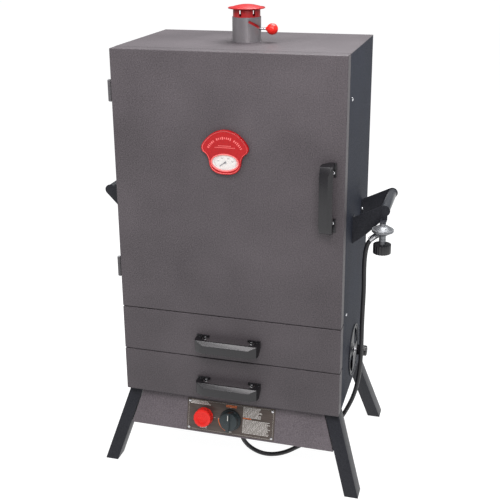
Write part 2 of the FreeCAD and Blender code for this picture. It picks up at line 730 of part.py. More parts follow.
def carry_plate(sign, front):
    """One gusset of a carrying handle, with a flange bolted to the wall."""
    across = "%d" % sign
    side_view = padded("XZ", [
        ("%s * gauge / 2" % across, -24), ("%s * (carry_reach - 7)" % across, 13.0),
        ("%s * (carry_reach + 11.5)" % across, -9), ("%s * 56" % across, -49.5),
        ("%s * 38.5" % across, -67.5), ("%s * gauge / 2" % across, -98),
    ], PLATE)
    offset = "carry_front" if front else "carry_front + carry_span - %s" % PLATE
    wall = "%d * (cabinet_width / 2)" % sign
    plate = place(side_view, (wall, panel_y("%s + %s" % (offset, PLATE)), cabinet_z("carry_height")))
    reach = "%d * (cabinet_width / 2 + carry_reach)" % sign
    eye = rod((reach, panel_y(offset), cabinet_z("carry_height")), "carry_radius + 2", PLATE, "y")
    flange_y = offset if front else "carry_front + carry_span - 24"
    flange_x = wall if sign > 0 else "%s - %s" % (wall, PLATE)
    flange = box((flange_x, panel_y(flange_y), cabinet_z("carry_height - 98")), (PLATE, 24, 74))
    tools = []
    bolt_y = "carry_front + %s" % CARRY_BOLT_IN if front else "carry_front + carry_span - %s" % CARRY_BOLT_IN
    for drop in CARRY_BOLT_DROPS:
        start = "%s - 10" % wall
        tools.append(rod((start, panel_y(bolt_y), cabinet_z("carry_height - %s" % drop)), BOLT_RADIUS, 20, "x"))
    pieces = [plate, eye, flange]
    if sign > 0 and front:
        # A small angle on the front right gusset, from which the regulator hangs.
        low_x = "cabinet_width / 2 + carry_reach - 8"
        pieces.append(box((low_x, panel_y("carry_front - 2"), cabinet_z(521)), (16, 2, 30)))
        pieces.append(box((low_x, panel_y(HANGER_Y - 9), cabinet_z(521)), (16, 33, 2)))
    return cut(fuse(pieces), tools)


gussets = []
tubes = []
for ignored, direction_x in SIDES:
    for is_front in (True, False):
        gussets.append(carry_plate(direction_x, is_front))
    reach = "%d * (cabinet_width / 2 + carry_reach)" % direction_x
    at = (reach, panel_y("carry_front + %s" % PLATE), cabinet_z("carry_height"))
    span = "carry_span - %s" % (2 * PLATE)
    tubes.append(cut(rod(at, "carry_radius", span, "y"), [rod(at, "carry_radius - 1.5", span, "y")]))
subpart("side_handle_brackets", group(gussets))
subpart("side_handle_tubes", group(tubes))


# ---------------------------------------------------------------- stand and control panel

def make_leg(label, sign_x, sign_y):
    """A U-channel leg that splays outwards, cut level at the floor and under the cabinet."""
    inner = "(cabinet_width / 2 - leg_inset_x - leg_width + foot_splay_x + leg_inset_x)"
    outer = "(%s + leg_width)" % inner
    if sign_y < 0:
        front = "(face_y - foot_splay_y)"
    else:
        front = "(face_y + cabinet_depth + foot_splay_y - leg_flange)"
    depth = "(%s + leg_flange)" % front
    web = "(%s + leg_gauge)" % front
    corners = [
        (outer, front), (inner, front), (inner, depth), ("%s + leg_gauge" % inner, depth),
        ("%s + leg_gauge" % inner, web), ("%s - leg_gauge" % outer, web),
        ("%s - leg_gauge" % outer, depth), (outer, depth)]
    corners = [("%d * (%s)" % (sign_x, across), along) for across, along in corners]
    lean_x = -sign_x * (SIZES["foot_splay_x"] + SIZES["leg_inset_x"])
    lean_y = -sign_y * (SIZES["foot_splay_y"] + SIZES["leg_inset_y"])
    channel = padded("XY", corners, "leg_height", Vector(lean_x, lean_y, BASE))
    top_in = "cabinet_width / 2 - leg_inset_x - leg_width"
    top_x = top_in if sign_x > 0 else "-(%s) - leg_width" % top_in
    if sign_y < 0:
        top_y = panel_y("leg_inset_y")
    else:
        top_y = panel_y("cabinet_depth - leg_inset_y - leg_flange")
    cap = box((top_x, top_y, "leg_height - leg_gauge"), ("leg_width", "leg_flange", "leg_gauge"))
    tools = []
    for across, along in leg_bolt_spots:
        tools.append(rod((across, along, "leg_height - 10"), BOLT_RADIUS, 20))
    return subpart(label, cut(fuse([channel, cap]), tools))


for end, direction_y in (("front", -1), ("rear", 1)):
    for name, direction_x in SIDES:
        make_leg("%s_%s_leg" % (end, name), direction_x, direction_y)

# The apron, the control plate and what they carry lie in one plane that leans back like the legs.
LEAN = math.degrees(math.atan2(SIZES["foot_splay_y"] + SIZES["leg_inset_y"], BASE))
LEAN_TURN = Rotation(Vector(1, 0, 0), -LEAN)
APRON_AT = (0, panel_y("leg_inset_y"), "leg_height")
APRON_TALL = 108.0
APRON_DEEP = 22.0
APRON_GAP = 3.0
KNOB_Z = -61.0
IGNITER_X = -76.0


def on_apron(thing):
    """Put a piece built in the apron's own plane where the apron stands."""
    return place(thing, APRON_AT, LEAN_TURN)


splay = (SIZES["foot_splay_x"] + SIZES["leg_inset_x"]) / BASE
half_top = WIDTH / 2.0 - SIZES["leg_inset_x"] - SIZES["leg_width"] - APRON_GAP
half_low = half_top + splay * APRON_TALL * math.cos(math.radians(LEAN))


def apron_prism(inset, low, front, deep):
    grow = splay * (-low - APRON_TALL) * math.cos(math.radians(LEAN))
    body = padded("XZ", [
        (-half_top + inset, -inset), (half_top - inset, -inset),
        (half_low + grow - inset, low), (-half_low - grow + inset, low),
    ], deep)
    return place(body, (0, front + deep, 0))


holes = [rod((0, -10, KNOB_Z), 7, 30, "y"), rod((IGNITER_X, -10, KNOB_Z), 7, 30, "y")]
apron_shell = cut(
    apron_prism(0.0, -APRON_TALL, 0.0, APRON_DEEP),
    [apron_prism(2.0, -APRON_TALL - 10.0, 2.0, APRON_DEEP)] + holes)
subpart("apron", on_apron(apron_shell))

PLATE_HALF = 127.0
PLATE_TOP = -13.5
PLATE_TALL = 90.0
CONTROL_THICK = 1.2
plate_block = box(
    (-PLATE_HALF, -CONTROL_THICK, PLATE_TOP - PLATE_TALL), (2 * PLATE_HALF, CONTROL_THICK, PLATE_TALL))
holes = [rod((0, -10, KNOB_Z), 7, 30, "y"), rod((IGNITER_X, -10, KNOB_Z), 7, 30, "y")]
subpart("control_plate", on_apron(cut(plate_block, holes)))


def make_burner_knob():
    """A round skirted knob with one raised grip across it."""
    pieces = [
        cone((0, -8, KNOB_Z), 29, 31, 6, "y"),
        cone((0, -24, KNOB_Z), 24.5, 27, 16, "y"),
        box((-4.5, -31, KNOB_Z - 26), (9, 8, 52))]
    bore = rod((0, -16, KNOB_Z), "stem_radius + 0.06", 20, "y")
    return subpart("burner_knob", on_apron(cut(fuse(pieces), [bore])))


def make_igniter_knob():
    """A fluted turn knob with a shallow dish in its face."""
    tools = [rod((IGNITER_X, -16, KNOB_Z), "stem_radius + 0.06", 20, "y")]
    tools.append(rod((IGNITER_X, -25, KNOB_Z), 16, 2.5, "y"))
    flutes = 14
    for index in range(flutes):
        angle = 2.0 * math.pi * index / flutes
        across = IGNITER_X + 27.4 * math.cos(angle)
        up = KNOB_Z + 27.4 * math.sin(angle)
        tools.append(rod((across, -30, up), 3.9, 25.6, "y"))
    knob = cone((IGNITER_X, -24, KNOB_Z), 24.5, 26, 22, "y")
    return subpart("igniter_knob", on_apron(cut(knob, tools)))


make_burner_knob()
make_igniter_knob()

GAS_Z = -64.0
INLET_X = 16.0
INLET_Y = 46.0
INLET_Z = -86.0
valve_block = fuse([
    box((-20, 4, KNOB_Z - 15), (46, 38, 30)),
    rod((0, -15, KNOB_Z), "stem_radius", 20, "y"),
    rod((0, 2, KNOB_Z), 6.5, 4, "y")])
subpart("gas_valve", fuse([
    on_apron(valve_block),
    rod((0, panel_y(36), cabinet_z(GAS_Z)), 5, 26, "y"),
    rod((INLET_X, panel_y(INLET_Y), cabinet_z(INLET_Z)), 7.5, 26)]))
subpart("igniter_body", on_apron(fuse([
    rod((IGNITER_X, 2, KNOB_Z), 11, 43, "y"),
    rod((IGNITER_X, -15, KNOB_Z), "stem_radius", 20, "y")])))

# The burner: a drilled head on a riser, fed by a mixing tube whose open end faces the valve.
BURNER_Y = panel_y("cabinet_depth / 2 + 20")
burner_pieces = [
    rod((0, BURNER_Y, cabinet_z(-26)), "burner_radius", 22),
    rod((0, BURNER_Y, cabinet_z(GAS_Z - 13)), 14, 57),
    rod((0, panel_y(68), cabinet_z(GAS_Z)), 11, 155, "y"),
    cone((0, panel_y(56), cabinet_z(GAS_Z)), 15, 11, 14, "y")]
for index in range(3):
    turn = Rotation(Vector(0, 0, 1), 90.0 + 120.0 * index)
    corner = turn.multVec(Vector(45, -7, 0))
    start = ("%.4f" % corner.x, BURNER_Y + " + %.4f" % corner.y, cabinet_z(-6))
    burner_pieces.append(box(start, (80, 14, 6), turn))
mouth = [
    rod((0, panel_y(50), cabinet_z(GAS_Z)), 9, 160, "y"),
    cone((0, panel_y(55.9), cabinet_z(GAS_Z)), 13.2, 9, 14, "y")]
subpart("burner", cut(fuse(burner_pieces), mouth))


# ---------------------------------------------------------------- hose, leads and regulator

def route_point(across, along, up):
    """A point given across, behind the door's face and above the cabinet's underside."""
    return Vector(across, FACE + along, BASE + up)


def rounded_route(points, name):
    """Straight runs joined by tangent arcs, each as large as its two runs allow."""
    edges = []
    start = points[0]
    radii = []
    for before, corner, after in zip(points, points[1:], points[2:]):
        back = before - corner
        ahead = after - corner
        half = back.getAngle(ahead) / 2.0
        run = min(back.Length, ahead.Length)
        away = 0.45 * run
        radii.append(away * math.tan(half))
        back.normalize()
        ahead.normalize()
        enter = corner + back * away
        leave = corner + ahead * away
        bisector = back + ahead
        bisector.normalize()
        centre = corner + bisector * (away / math.cos(half))
        middle = centre - bisector * radii[-1]
        edges.append(Part.LineSegment(start, enter).toShape())
        edges.append(Part.Arc(enter, middle, leave).toShape())
        start = leave
    edges.append(Part.LineSegment(start, points[-1]).toShape())
    wire = Part.Wire(edges)
    print(name, "length %.1f" % wire.Length, "radii", " ".join("%.0f" % value for value in radii))
    return wire


def tube_along(points, radius, name):
    """A round solid along a route, checked against its section times its length."""
    wire = rounded_route(points, name)
    heading = points[1] - points[0]
    ring = Part.Wire(Part.Circle(points[0], heading, radius).toShape())
    solid = wire.makePipeShell([ring], True, False)
    expected = math.pi * radius ** 2 * wire.Length
    print(name, "volume / expected %.4f" % (solid.Volume / expected))
    if abs(solid.Volume / expected - 1.0) > 0.01:
        raise ValueError(name + " tube is not true")
    return solid


LEAD_ROUTE = [
    (IGNITER_X, 49.9, -67.2), (IGNITER_X, 84.0, -75.6), (-72.0, 126.0, -78.0), (-69.0, 172.0, -76.0),
    (-68.0, 208.0, -66.0), (-68.0, 223.0, -40.0)]
lead = document.addObject("Part::Feature", "Lead")
lead.Shape = tube_along([route_point(*spot) for spot in LEAD_ROUTE], 1.6, "igniter lead")
electrode = fuse([lead, rod((-68, BURNER_Y, cabinet_z(-44)), 4, 34)])
subpart("igniter_electrode", electrode)

REG_X = WIDTH / 2.0 + SIZES["carry_reach"]
HOSE_ROUTE = [
    (INLET_X, INLET_Y, INLET_Z), (INLET_X, INLET_Y, -125.0), (36.0, 52.0, -166.0), (82.0, 58.0, -190.0),
    (136.0, 64.0, -182.0), (186.0, 70.0, -150.0), (236.0, 80.0, -116.0), (280.0, 94.0, -84.0),
    (306.0, 106.0, -44.0), (330.0, 112.0, 14.0), (341.0, 112.0, 80.0), (344.0, 111.0, 150.0),
    (343.0, 112.0, 240.0), (345.0, 113.0, 330.0), (343.0, 113.0, 396.0), (345.0, HANGER_Y, 438.0),
    (352.0, HANGER_Y, 468.0), (370.0, HANGER_Y, 483.0)]
hose = document.addObject("Part::Feature", "Hose")
hose.Shape = tube_along([route_point(*spot) for spot in HOSE_ROUTE], SIZES["hose_radius"], "gas hose")
subpart("gas_hose", hose)

# The regulator hangs nose down: a diaphragm case over a neck, with a hose outlet at the left.
REG_Y = panel_y(HANGER_Y)
REG_AT = "cabinet_width / 2 + carry_reach"
outlet_start = Vector(370.0, 0, 483.0)
outlet_way = Vector(370.0 - 352.0, 0, 483.0 - 468.0)
outlet_turn = Rotation(Vector(0, 0, 1), outlet_way)
outlet = primitive("Cylinder", {"Radius": 8, "Height": 20},
                   (outlet_start.x, REG_Y, cabinet_z(outlet_start.z)), outlet_turn)
regulator = fuse([
    rod((REG_AT, REG_Y, cabinet_z(512)), 8, 9),
    cone((REG_AT, REG_Y, cabinet_z(503)), 28, 12, 10),
    rod((REG_AT, REG_Y, cabinet_z(497)), 28.5, 6.5),
    cone((REG_AT, REG_Y, cabinet_z(487)), 12, 26, 10.5),
    rod((REG_AT, REG_Y, cabinet_z(469)), 9, 20),
    rod((REG_AT, REG_Y, cabinet_z(446)), 7, 30),
    outlet])
subpart("regulator_body", regulator)

nut_tools = [
    rod((REG_AT, REG_Y, cabinet_z(430)), 7.06, 50),
    rod((REG_AT, REG_Y, cabinet_z(436)), 18, 18)]
nut_ribs = 20
for index in range(nut_ribs):
    angle = 2.0 * math.pi * index / nut_ribs
    across = REG_X + 25.2 * math.cos(angle)
    along = 25.2 * math.sin(angle)
    nut_tools.append(rod(("%.4f" % across, REG_Y + " + %.4f" % along, cabinet_z(430)), 2.6, 34))
subpart("coupling_nut", cut(rod((REG_AT, REG_Y, cabinet_z(438)), "nut_radius", 24), nut_tools))

# All the bolts and screws that stay with the cabinet, as one group.
fixings = []


def wall_bolt(sign, offset, height, through):
    wall = "%d * cabinet_width / 2" % sign
    low = -through
    high = 4.0 if through < 12.0 else 2.4
    shank_x = "%s + %s" % (wall, low if sign > 0 else -high)
    shank = rod((shank_x, panel_y(offset), cabinet_z(height)), BOLT_RADIUS, high - low, "x")
    seat = PLATE if through < 12.0 else 0.0
    head_x = "%s + %s" % (wall, seat if sign > 0 else -seat - 2.6)
    head = rod((head_x, panel_y(offset), cabinet_z(height)), BOLT_HEAD, 2.6, "x")
    return fuse([shank, head])


for ignored, direction_x in SIDES:
    for offset, height in side_bolt_spots(direction_x):
        is_catch = offset == CATCH_BOLT_Y
        fixings.append(wall_bolt(direction_x, offset, height, 14.0 if is_catch else 8.0))
for across, along in leg_bolt_spots:
    shank = rod((across, along, "leg_height - leg_gauge"), BOLT_RADIUS, 10)
    head = rod((across, along, "leg_height - leg_gauge - 3"), BOLT_HEAD, 3)
    fixings.append(fuse([shank, head]))
plate_screws = []
for across in (-PLATE_HALF + 7.0, PLATE_HALF - 7.0):
    for up in (PLATE_TOP - 7.0, PLATE_TOP - PLATE_TALL + 7.0):
        plate_screws.append(cone((across, -CONTROL_THICK - 1.8, up), 2.4, 4.0, 1.8, "y"))
fixings.append(on_apron(group(plate_screws)))
subpart("cabinet_bolts", group(fixings))


# ---------------------------------------------------------------- check and write

document.recompute()
for thing in document.Objects:
    if "Invalid" in thing.State or "Error" in thing.State:
        raise ValueError("failed object: " + thing.Label)
os.makedirs("parts", exist_ok=True)
for thing in SUBPARTS:
    if thing.Shape.isNull() or not thing.Shape.isValid():
        raise ValueError("bad shape: " + thing.Label)
    thing.Shape.exportStep("parts/%s.step" % thing.Label)
    room = thing.Shape.BoundBox
    print("%-24s %2d solids  volume %10.0f  x %.1f..%.1f  y %.1f..%.1f  z %.1f..%.1f" % (
        thing.Label, len(thing.Shape.Solids), thing.Shape.Volume,
        room.XMin, room.XMax, room.YMin, room.YMax, room.ZMin, room.ZMax))
print(len(SUBPARTS), "sub-parts")
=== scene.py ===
import math

import bmesh
import bpy
from mathutils import Matrix, Vector


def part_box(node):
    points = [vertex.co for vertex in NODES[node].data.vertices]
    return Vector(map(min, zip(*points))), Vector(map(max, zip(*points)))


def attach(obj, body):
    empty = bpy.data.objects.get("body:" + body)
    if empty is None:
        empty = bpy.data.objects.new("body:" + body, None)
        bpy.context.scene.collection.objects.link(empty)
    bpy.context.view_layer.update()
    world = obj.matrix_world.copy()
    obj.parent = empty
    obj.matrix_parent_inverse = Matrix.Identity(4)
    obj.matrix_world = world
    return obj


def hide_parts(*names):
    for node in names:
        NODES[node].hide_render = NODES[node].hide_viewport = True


# Looks of the gas cabinet smoker, in metres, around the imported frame.
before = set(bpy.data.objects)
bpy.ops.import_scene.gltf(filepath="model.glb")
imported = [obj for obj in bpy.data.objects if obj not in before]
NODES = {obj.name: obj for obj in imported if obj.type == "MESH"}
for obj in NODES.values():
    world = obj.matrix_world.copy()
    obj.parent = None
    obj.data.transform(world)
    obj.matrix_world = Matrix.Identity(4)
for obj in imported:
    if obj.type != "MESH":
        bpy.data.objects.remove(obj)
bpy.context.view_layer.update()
MM = 0.001
DOOR_LOW, DOOR_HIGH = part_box("door_panel")
FACE = DOOR_LOW[1]
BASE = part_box("cabinet_bottom")[0][2]


# ------------------------------------------------------------------ camera, light, floor

CAMERA_AT = (0.647, -2.275, 1.494)
CAMERA_HEADING = 16.17      # degrees to the left of +Y
CAMERA_DIP = 18.07          # degrees below level
CAMERA_ROLL = -0.53
CAMERA_LENS = 64.0
CAMERA_SHIFT = (0.013, -0.084)
FLOOR_REACH = 40.0


def set_camera():
    data = bpy.data.cameras.new("camera")
    data.lens = CAMERA_LENS
    data.shift_x, data.shift_y = CAMERA_SHIFT
    data.clip_start = 0.05
    camera = bpy.data.objects.new("camera", data)
    turn = Matrix.Rotation(math.radians(CAMERA_HEADING), 4, "Z")
    turn = turn @ Matrix.Rotation(math.radians(90 - CAMERA_DIP), 4, "X")
    turn = turn @ Matrix.Rotation(math.radians(CAMERA_ROLL), 4, "Z")
    camera.matrix_world = Matrix.Translation(CAMERA_AT) @ turn
    bpy.context.collection.objects.link(camera)
    bpy.context.scene.camera = camera


def add_light(name, spot, target, size, power, colour=(1, 1, 1)):
    data = bpy.data.lights.new(name, "AREA")
    data.shape = "RECTANGLE"
    data.size, data.size_y = size
    data.energy = power
    data.color = colour
    light = bpy.data.objects.new(name, data)
    light.location = spot
    light.rotation_euler = (Vector(target) - Vector(spot)).to_track_quat("-Z", "Y").to_euler()
    bpy.context.collection.objects.link(light)


def set_studio():
    world = bpy.data.worlds.new("studio")
    bpy.context.scene.world = world
    world.use_nodes = True
    tree = world.node_tree
    tree.nodes.clear()
    out = tree.nodes.new("ShaderNodeOutputWorld")
    seen = tree.nodes.new("ShaderNodeBackground")
    seen.inputs["Color"].default_value = (1, 1, 1, 1)
    seen.inputs["Strength"].default_value = 1.0
    lit = tree.nodes.new("ShaderNodeBackground")
    lit.inputs["Color"].default_value = (0.94, 0.97, 1, 1)
    lit.inputs["Strength"].default_value = 0.25
    path = tree.nodes.new("ShaderNodeLightPath")
    mix = tree.nodes.new("ShaderNodeMixShader")
    tree.links.new(path.outputs["Is Camera Ray"], mix.inputs[0])
    tree.links.new(lit.outputs[0], mix.inputs[1])
    tree.links.new(seen.outputs[0], mix.inputs[2])
    tree.links.new(mix.outputs[0], out.inputs[0])
    add_light("top", (0.3, 0.5, 2.9), (0, 0.05, 1.2), (1.8, 1.4), 96)
    add_light("key", (0.75, -1.7, 2.15), (0.2, -0.2, 1.05), (0.9, 0.9), 31, (1, 0.95, 0.97))
    add_light("front_top", (-0.55, -1.5, 2.7), (0, -0.2, 0.5), (1.7, 0.7), 34, (1, 0.97, 0.99))
    add_light("right", (3.2, 0.4, 1.5), (0.3, 0, 0.8), (1.6, 2.2), 9, (0.8, 0.9, 1))
    add_light("left", (-3.0, -1.6, 1.6), (0, 0, 0.7), (1.4, 2.4), 8, (0.95, 0.97, 1))
    bpy.context.scene.view_settings.view_transform = "Standard"
    sheet = bpy.data.meshes.new("floor")
    corners = [(x * FLOOR_REACH, y * FLOOR_REACH, 0) for x, y in ((-1, -1), (1, -1), (1, 1), (-1, 1))]
    sheet.from_pydata(corners, [], [(0, 1, 2, 3)])
    floor = bpy.data.objects.new("floor", sheet)
    bpy.context.collection.objects.link(floor)
    paint = bpy.data.materials.new("floor_white")
    paint.use_nodes = True
    shader = paint.node_tree.nodes["Principled BSDF"]
    shader.inputs["Base Color"].default_value = (0.2, 0.2, 0.2, 1)
    shader.inputs["Roughness"].default_value = 0.9
    shader.inputs["Emission Color"].default_value = (1, 1, 1, 1)
    shader.inputs["Emission Strength"].default_value = 0.96
    sheet.materials.append(paint)


# ------------------------------------------------------------------ materials

MATERIALS = {}


def material(name, low, high, rough, metal=0.0, grain=900.0, mottle=8.0, bump=0.15, bump_size=0.0004,
             coat=0.0, spread=0.08, streak=None, specular=0.5):
    """A shader with fine grain, slow mottling and varied roughness."""
    made = bpy.data.materials.new(name)
    made.use_nodes = True
    tree = made.node_tree
    nodes, links = tree.nodes, tree.links
    shader = nodes["Principled BSDF"]
    place = nodes.new("ShaderNodeTexCoord")
    spread_out = place.outputs["Object"]
    if streak:
        stretch = nodes.new("ShaderNodeMapping")
        stretch.inputs["Scale"].default_value = streak
        links.new(spread_out, stretch.inputs["Vector"])
        spread_out = stretch.outputs["Vector"]
    slow = nodes.new("ShaderNodeTexNoise")
    slow.inputs["Scale"].default_value = mottle
    slow.inputs["Detail"].default_value = 5.0
    links.new(spread_out, slow.inputs["Vector"])
    fine = nodes.new("ShaderNodeTexNoise")
    fine.inputs["Scale"].default_value = grain
    fine.inputs["Detail"].default_value = 3.0
    links.new(spread_out, fine.inputs["Vector"])
    blend = nodes.new("ShaderNodeMix")
    blend.data_type = "FLOAT"
    blend.inputs["Factor"].default_value = 0.66
    links.new(slow.outputs["Fac"], blend.inputs["A"])
    links.new(fine.outputs["Fac"], blend.inputs["B"])
    ramp = nodes.new("ShaderNodeValToRGB")
    ramp.color_ramp.elements[0].position = 0.32
    ramp.color_ramp.elements[0].color = (*low, 1)
    ramp.color_ramp.elements[1].position = 0.68
    ramp.color_ramp.elements[1].color = (*high, 1)
    links.new(blend.outputs["Result"], ramp.inputs["Fac"])
    colour = ramp.outputs["Color"]
    links.new(colour, shader.inputs["Base Color"])
    vary = nodes.new("ShaderNodeMapRange")
    vary.inputs["To Min"].default_value = max(0.02, rough - spread)
    vary.inputs["To Max"].default_value = min(1.0, rough + spread)
    links.new(slow.outputs["Fac"], vary.inputs["Value"])
    links.new(vary.outputs["Result"], shader.inputs["Roughness"])
    if bump:
        lift = nodes.new("ShaderNodeBump")
        lift.inputs["Strength"].default_value = bump
        lift.inputs["Distance"].default_value = bump_size
        links.new(fine.outputs["Fac"], lift.inputs["Height"])
        links.new(lift.outputs["Normal"], shader.inputs["Normal"])
    shader.inputs["Metallic"].default_value = metal
    shader.inputs["Specular IOR Level"].default_value = specular
    shader.inputs["Coat Weight"].default_value = coat
    shader.inputs["Coat Roughness"].default_value = 0.12
    MATERIALS[name] = made
    return made


def set_materials():
    material("powder", (0.036, 0.031, 0.034), (0.098, 0.086, 0.093), 0.52, 0.0, 330, 5, 0.7, 0.0006,
             specular=0.3)
    # The cabinet's powder coat made darker and bluer for the right side wall: painted shade for the side
    # that faces away from the lamps.
    material("powder_side_painted_shade", (0.012, 0.014, 0.020), (0.044, 0.049, 0.066), 0.66, 0.0, 330, 5, 0.7, 0.0006,
             specular=0.06)
    # The cabinet's powder coat made about half as light again for the apron: painted light on the apron,
    # which tilts up towards the lamps.
    material("powder_apron", (0.062, 0.053, 0.059), (0.150, 0.130, 0.142), 0.52, 0.0, 330, 5, 0.7, 0.0006,
             specular=0.3)
    # The cabinet's powder coat made much darker and bluer for the legs, the carrying-handle brackets and
    # the damper discs: painted shade for parts under the cabinet and on its shaded sides.
    material("powder_dark", (0.008, 0.009, 0.012), (0.024, 0.025, 0.031), 0.44, 0.0, 330, 5, 0.6, 0.0005,
             specular=0.22)
    # The cabinet's powder coat made darker and bluer, with more gloss, for the carrying tubes: the darker
    # colour is painted shade of the shaded side, and the gloss is the tubes' own.
    material("powder_tube", (0.024, 0.026, 0.030), (0.055, 0.058, 0.066), 0.32, 0.0, 330, 5, 0.4, 0.0004)
    material("galvanised", (0.44, 0.45, 0.47), (0.70, 0.71, 0.73), 0.36, 0.9, 160, 30, 0.12)
    material("chamber", (0.16, 0.155, 0.15), (0.26, 0.25, 0.24), 0.45, 0.8, 260, 7, 0.2)
    material("seal", (0.09, 0.085, 0.075), (0.24, 0.225, 0.2), 0.9, 0.0, 700, 60, 0.8, 0.001)
    material("plastic", (0.005, 0.005, 0.006), (0.013, 0.012, 0.014), 0.27, 0.0, 1400, 12, 0.12, 0.0002)
    material("knob_teal", (0.010, 0.016, 0.018), (0.022, 0.034, 0.038), 0.28, 0.0, 1200, 12, 0.1, 0.0002)
    material("bolt", (0.45, 0.45, 0.46), (0.72, 0.72, 0.74), 0.25, 1.0, 500, 60, 0.1)
    material("hinge", (0.045, 0.043, 0.046), (0.08, 0.076, 0.08), 0.45, 0.0, 800, 12, 0.3)
    material("red", (0.27, 0.003, 0.005), (0.42, 0.007, 0.009), 0.26, 0.0, 600, 9, 0.08, 0.0003, coat=0.15,
             specular=0.25)
    material("red_matt", (0.25, 0.006, 0.008), (0.36, 0.014, 0.016), 0.36, 0.0, 500, 14, 0.25, 0.0004,
             specular=0.25)
    material("red_edge", (0.70, 0.10, 0.10), (0.80, 0.18, 0.17), 0.35, 0.0, 500, 14, 0.1)
    material("red_knob", (0.60, 0.010, 0.008), (0.80, 0.026, 0.016), 0.30, 0.0, 900, 10, 0.1, specular=0.35)
    material("dial", (0.52, 0.51, 0.48), (0.62, 0.61, 0.58), 0.4, 0.0, 900, 20, 0.05)
    material("ink", (0.02, 0.02, 0.03), (0.05, 0.05, 0.07), 0.5, 0.0, 900, 20, 0.0)
    material("print", (0.58, 0.56, 0.52), (0.78, 0.76, 0.72), 0.5, 0.0, 900, 40, 0.0)
    material("orange", (0.72, 0.13, 0.02), (0.86, 0.20, 0.03), 0.5, 0.0, 900, 40, 0.0)
    material("porcelain", (0.012, 0.012, 0.014), (0.03, 0.03, 0.034), 0.16, 0.0, 300, 30, 0.05, coat=0.6)
    material("wire", (0.60, 0.61, 0.63), (0.80, 0.81, 0.83), 0.18, 1.0, 400, 50, 0.06)
    material("flue_grey", (0.105, 0.098, 0.103), (0.17, 0.16, 0.168), 0.42, 0.2, 700, 9, 0.35)
    material("bronze", (0.050, 0.038, 0.032), (0.095, 0.075, 0.064), 0.38, 0.3, 500, 8, 0.15,
             streak=(0.05, 1, 1))
    material("cast", (0.15, 0.155, 0.165), (0.33, 0.34, 0.35), 0.45, 0.7, 450, 26, 0.35, 0.0006)
    material("iron", (0.06, 0.055, 0.05), (0.15, 0.14, 0.13), 0.7, 0.4, 300, 20, 0.7, 0.001)
    material("hose", (0.005, 0.005, 0.006), (0.013, 0.013, 0.015), 0.45, 0.0, 900, 40, 0.3, 0.0003)
    material("ceramic", (0.72, 0.70, 0.66), (0.85, 0.83, 0.79), 0.4, 0.0, 500, 40, 0.1)
    lens = bpy.data.materials.new("lens")
    lens.use_nodes = True
    shader = lens.node_tree.nodes["Principled BSDF"]
    shader.inputs["Base Color"].default_value = (1, 1, 1, 1)
    shader.inputs["Alpha"].default_value = 0.08
    noise = lens.node_tree.nodes.new("ShaderNodeTexNoise")
    noise.inputs["Scale"].default_value = 90.0
    vary = lens.node_tree.nodes.new("ShaderNodeMapRange")
    vary.inputs["To Min"].default_value = 0.03
    vary.inputs["To Max"].default_value = 0.08
    lens.node_tree.links.new(noise.outputs["Fac"], vary.inputs["Value"])
    lens.node_tree.links.new(vary.outputs["Result"], shader.inputs["Roughness"])
    MATERIALS["lens"] = lens


NODE_MATERIALS = {
    "powder": ("cabinet_top", "cabinet_back", "cabinet_bottom", "cabinet_left_side", "door_panel",
               "lower_drawer", "upper_drawer"),
    "powder_apron": ("apron",),
    "powder_tube": ("side_handle_tubes",),
    "powder_dark": ("side_handle_brackets", "front_left_leg", "front_right_leg",
                    "rear_left_leg", "rear_right_leg", "left_damper_disc", "right_damper_disc"),
    "powder_side_painted_shade": ("cabinet_right_side",),
    "chamber": ("front_frame", "door_liner"),
    "galvanised": ("drawer_runners", "rack_rails", "magnetic_catches"),
    "seal": ("door_seal",),
    "hinge": ("hinge_cabinet_leaves", "hinge_door_leaves"),
    "bolt": ("hinge_pins", "thermometer_probe"),
    "dial": ("thermometer_dial",),
    "lens": ("thermometer_lens",),
    "ink": ("thermometer_needle",),
    "porcelain": ("wood_chip_box", "water_pan"),
    "wire": ("cooking_rack_1", "cooking_rack_2", "cooking_rack_3", "flue_lever"),
    "flue_grey": ("flue_pipe",),
    "red_matt": ("flue_sleeve",),
    "bronze": ("control_plate",),
    "cast": ("gas_valve",),
    "plastic": ("igniter_body",),
    "iron": ("burner",),
    "ceramic": ("igniter_electrode",),
}


def paint_nodes():
    for name, nodes in NODE_MATERIALS.items():
        for node in nodes:
            made = NODES[node]
            for slot in made.material_slots:
                slot.material = MATERIALS[name]


# ------------------------------------------------------------------ mesh helpers

def add_piece(name, mesh, paint, body, smooth=35.0):
    piece = bpy.data.objects.new(name, mesh)
    bpy.context.collection.objects.link(piece)
    for entry in (paint if isinstance(paint, (list, tuple)) else [paint]):
        mesh.materials.append(MATERIALS[entry])
    if smooth:
        for face in mesh.polygons:
            face.use_smooth = True
        mesh.set_sharp_from_angle(angle=math.radians(smooth))
    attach(piece, body)
    return piece


def finish_mesh(made, name):
    bmesh.ops.recalc_face_normals(made, faces=made.faces)
    mesh = bpy.data.meshes.new(name)
    made.to_mesh(mesh)
    made.free()
    return mesh


def bevel(made, width, segments=2, angle=25.0):
    sharp = [e for e in made.edges if len(e.link_faces) == 2 and e.calc_face_angle(0) > math.radians(angle)]
    bmesh.ops.bevel(made, geom=sharp, offset=width, segments=segments, profile=0.6, affect="EDGES",
                    clamp_overlap=True)


def soften(node, paint, body, width, segments=2):
    """A CAD node with its edges rounded, standing for that node."""
    made = bmesh.new()
    made.from_mesh(NODES[node].data)
    bmesh.ops.remove_doubles(made, verts=made.verts, dist=1e-6)
    bmesh.ops.dissolve_limit(made, angle_limit=math.radians(3), verts=made.verts, edges=made.edges)
    bevel(made, width, segments)
    piece = add_piece(node + "_look", finish_mesh(made, node), paint, body)
    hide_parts(node)
    return piece


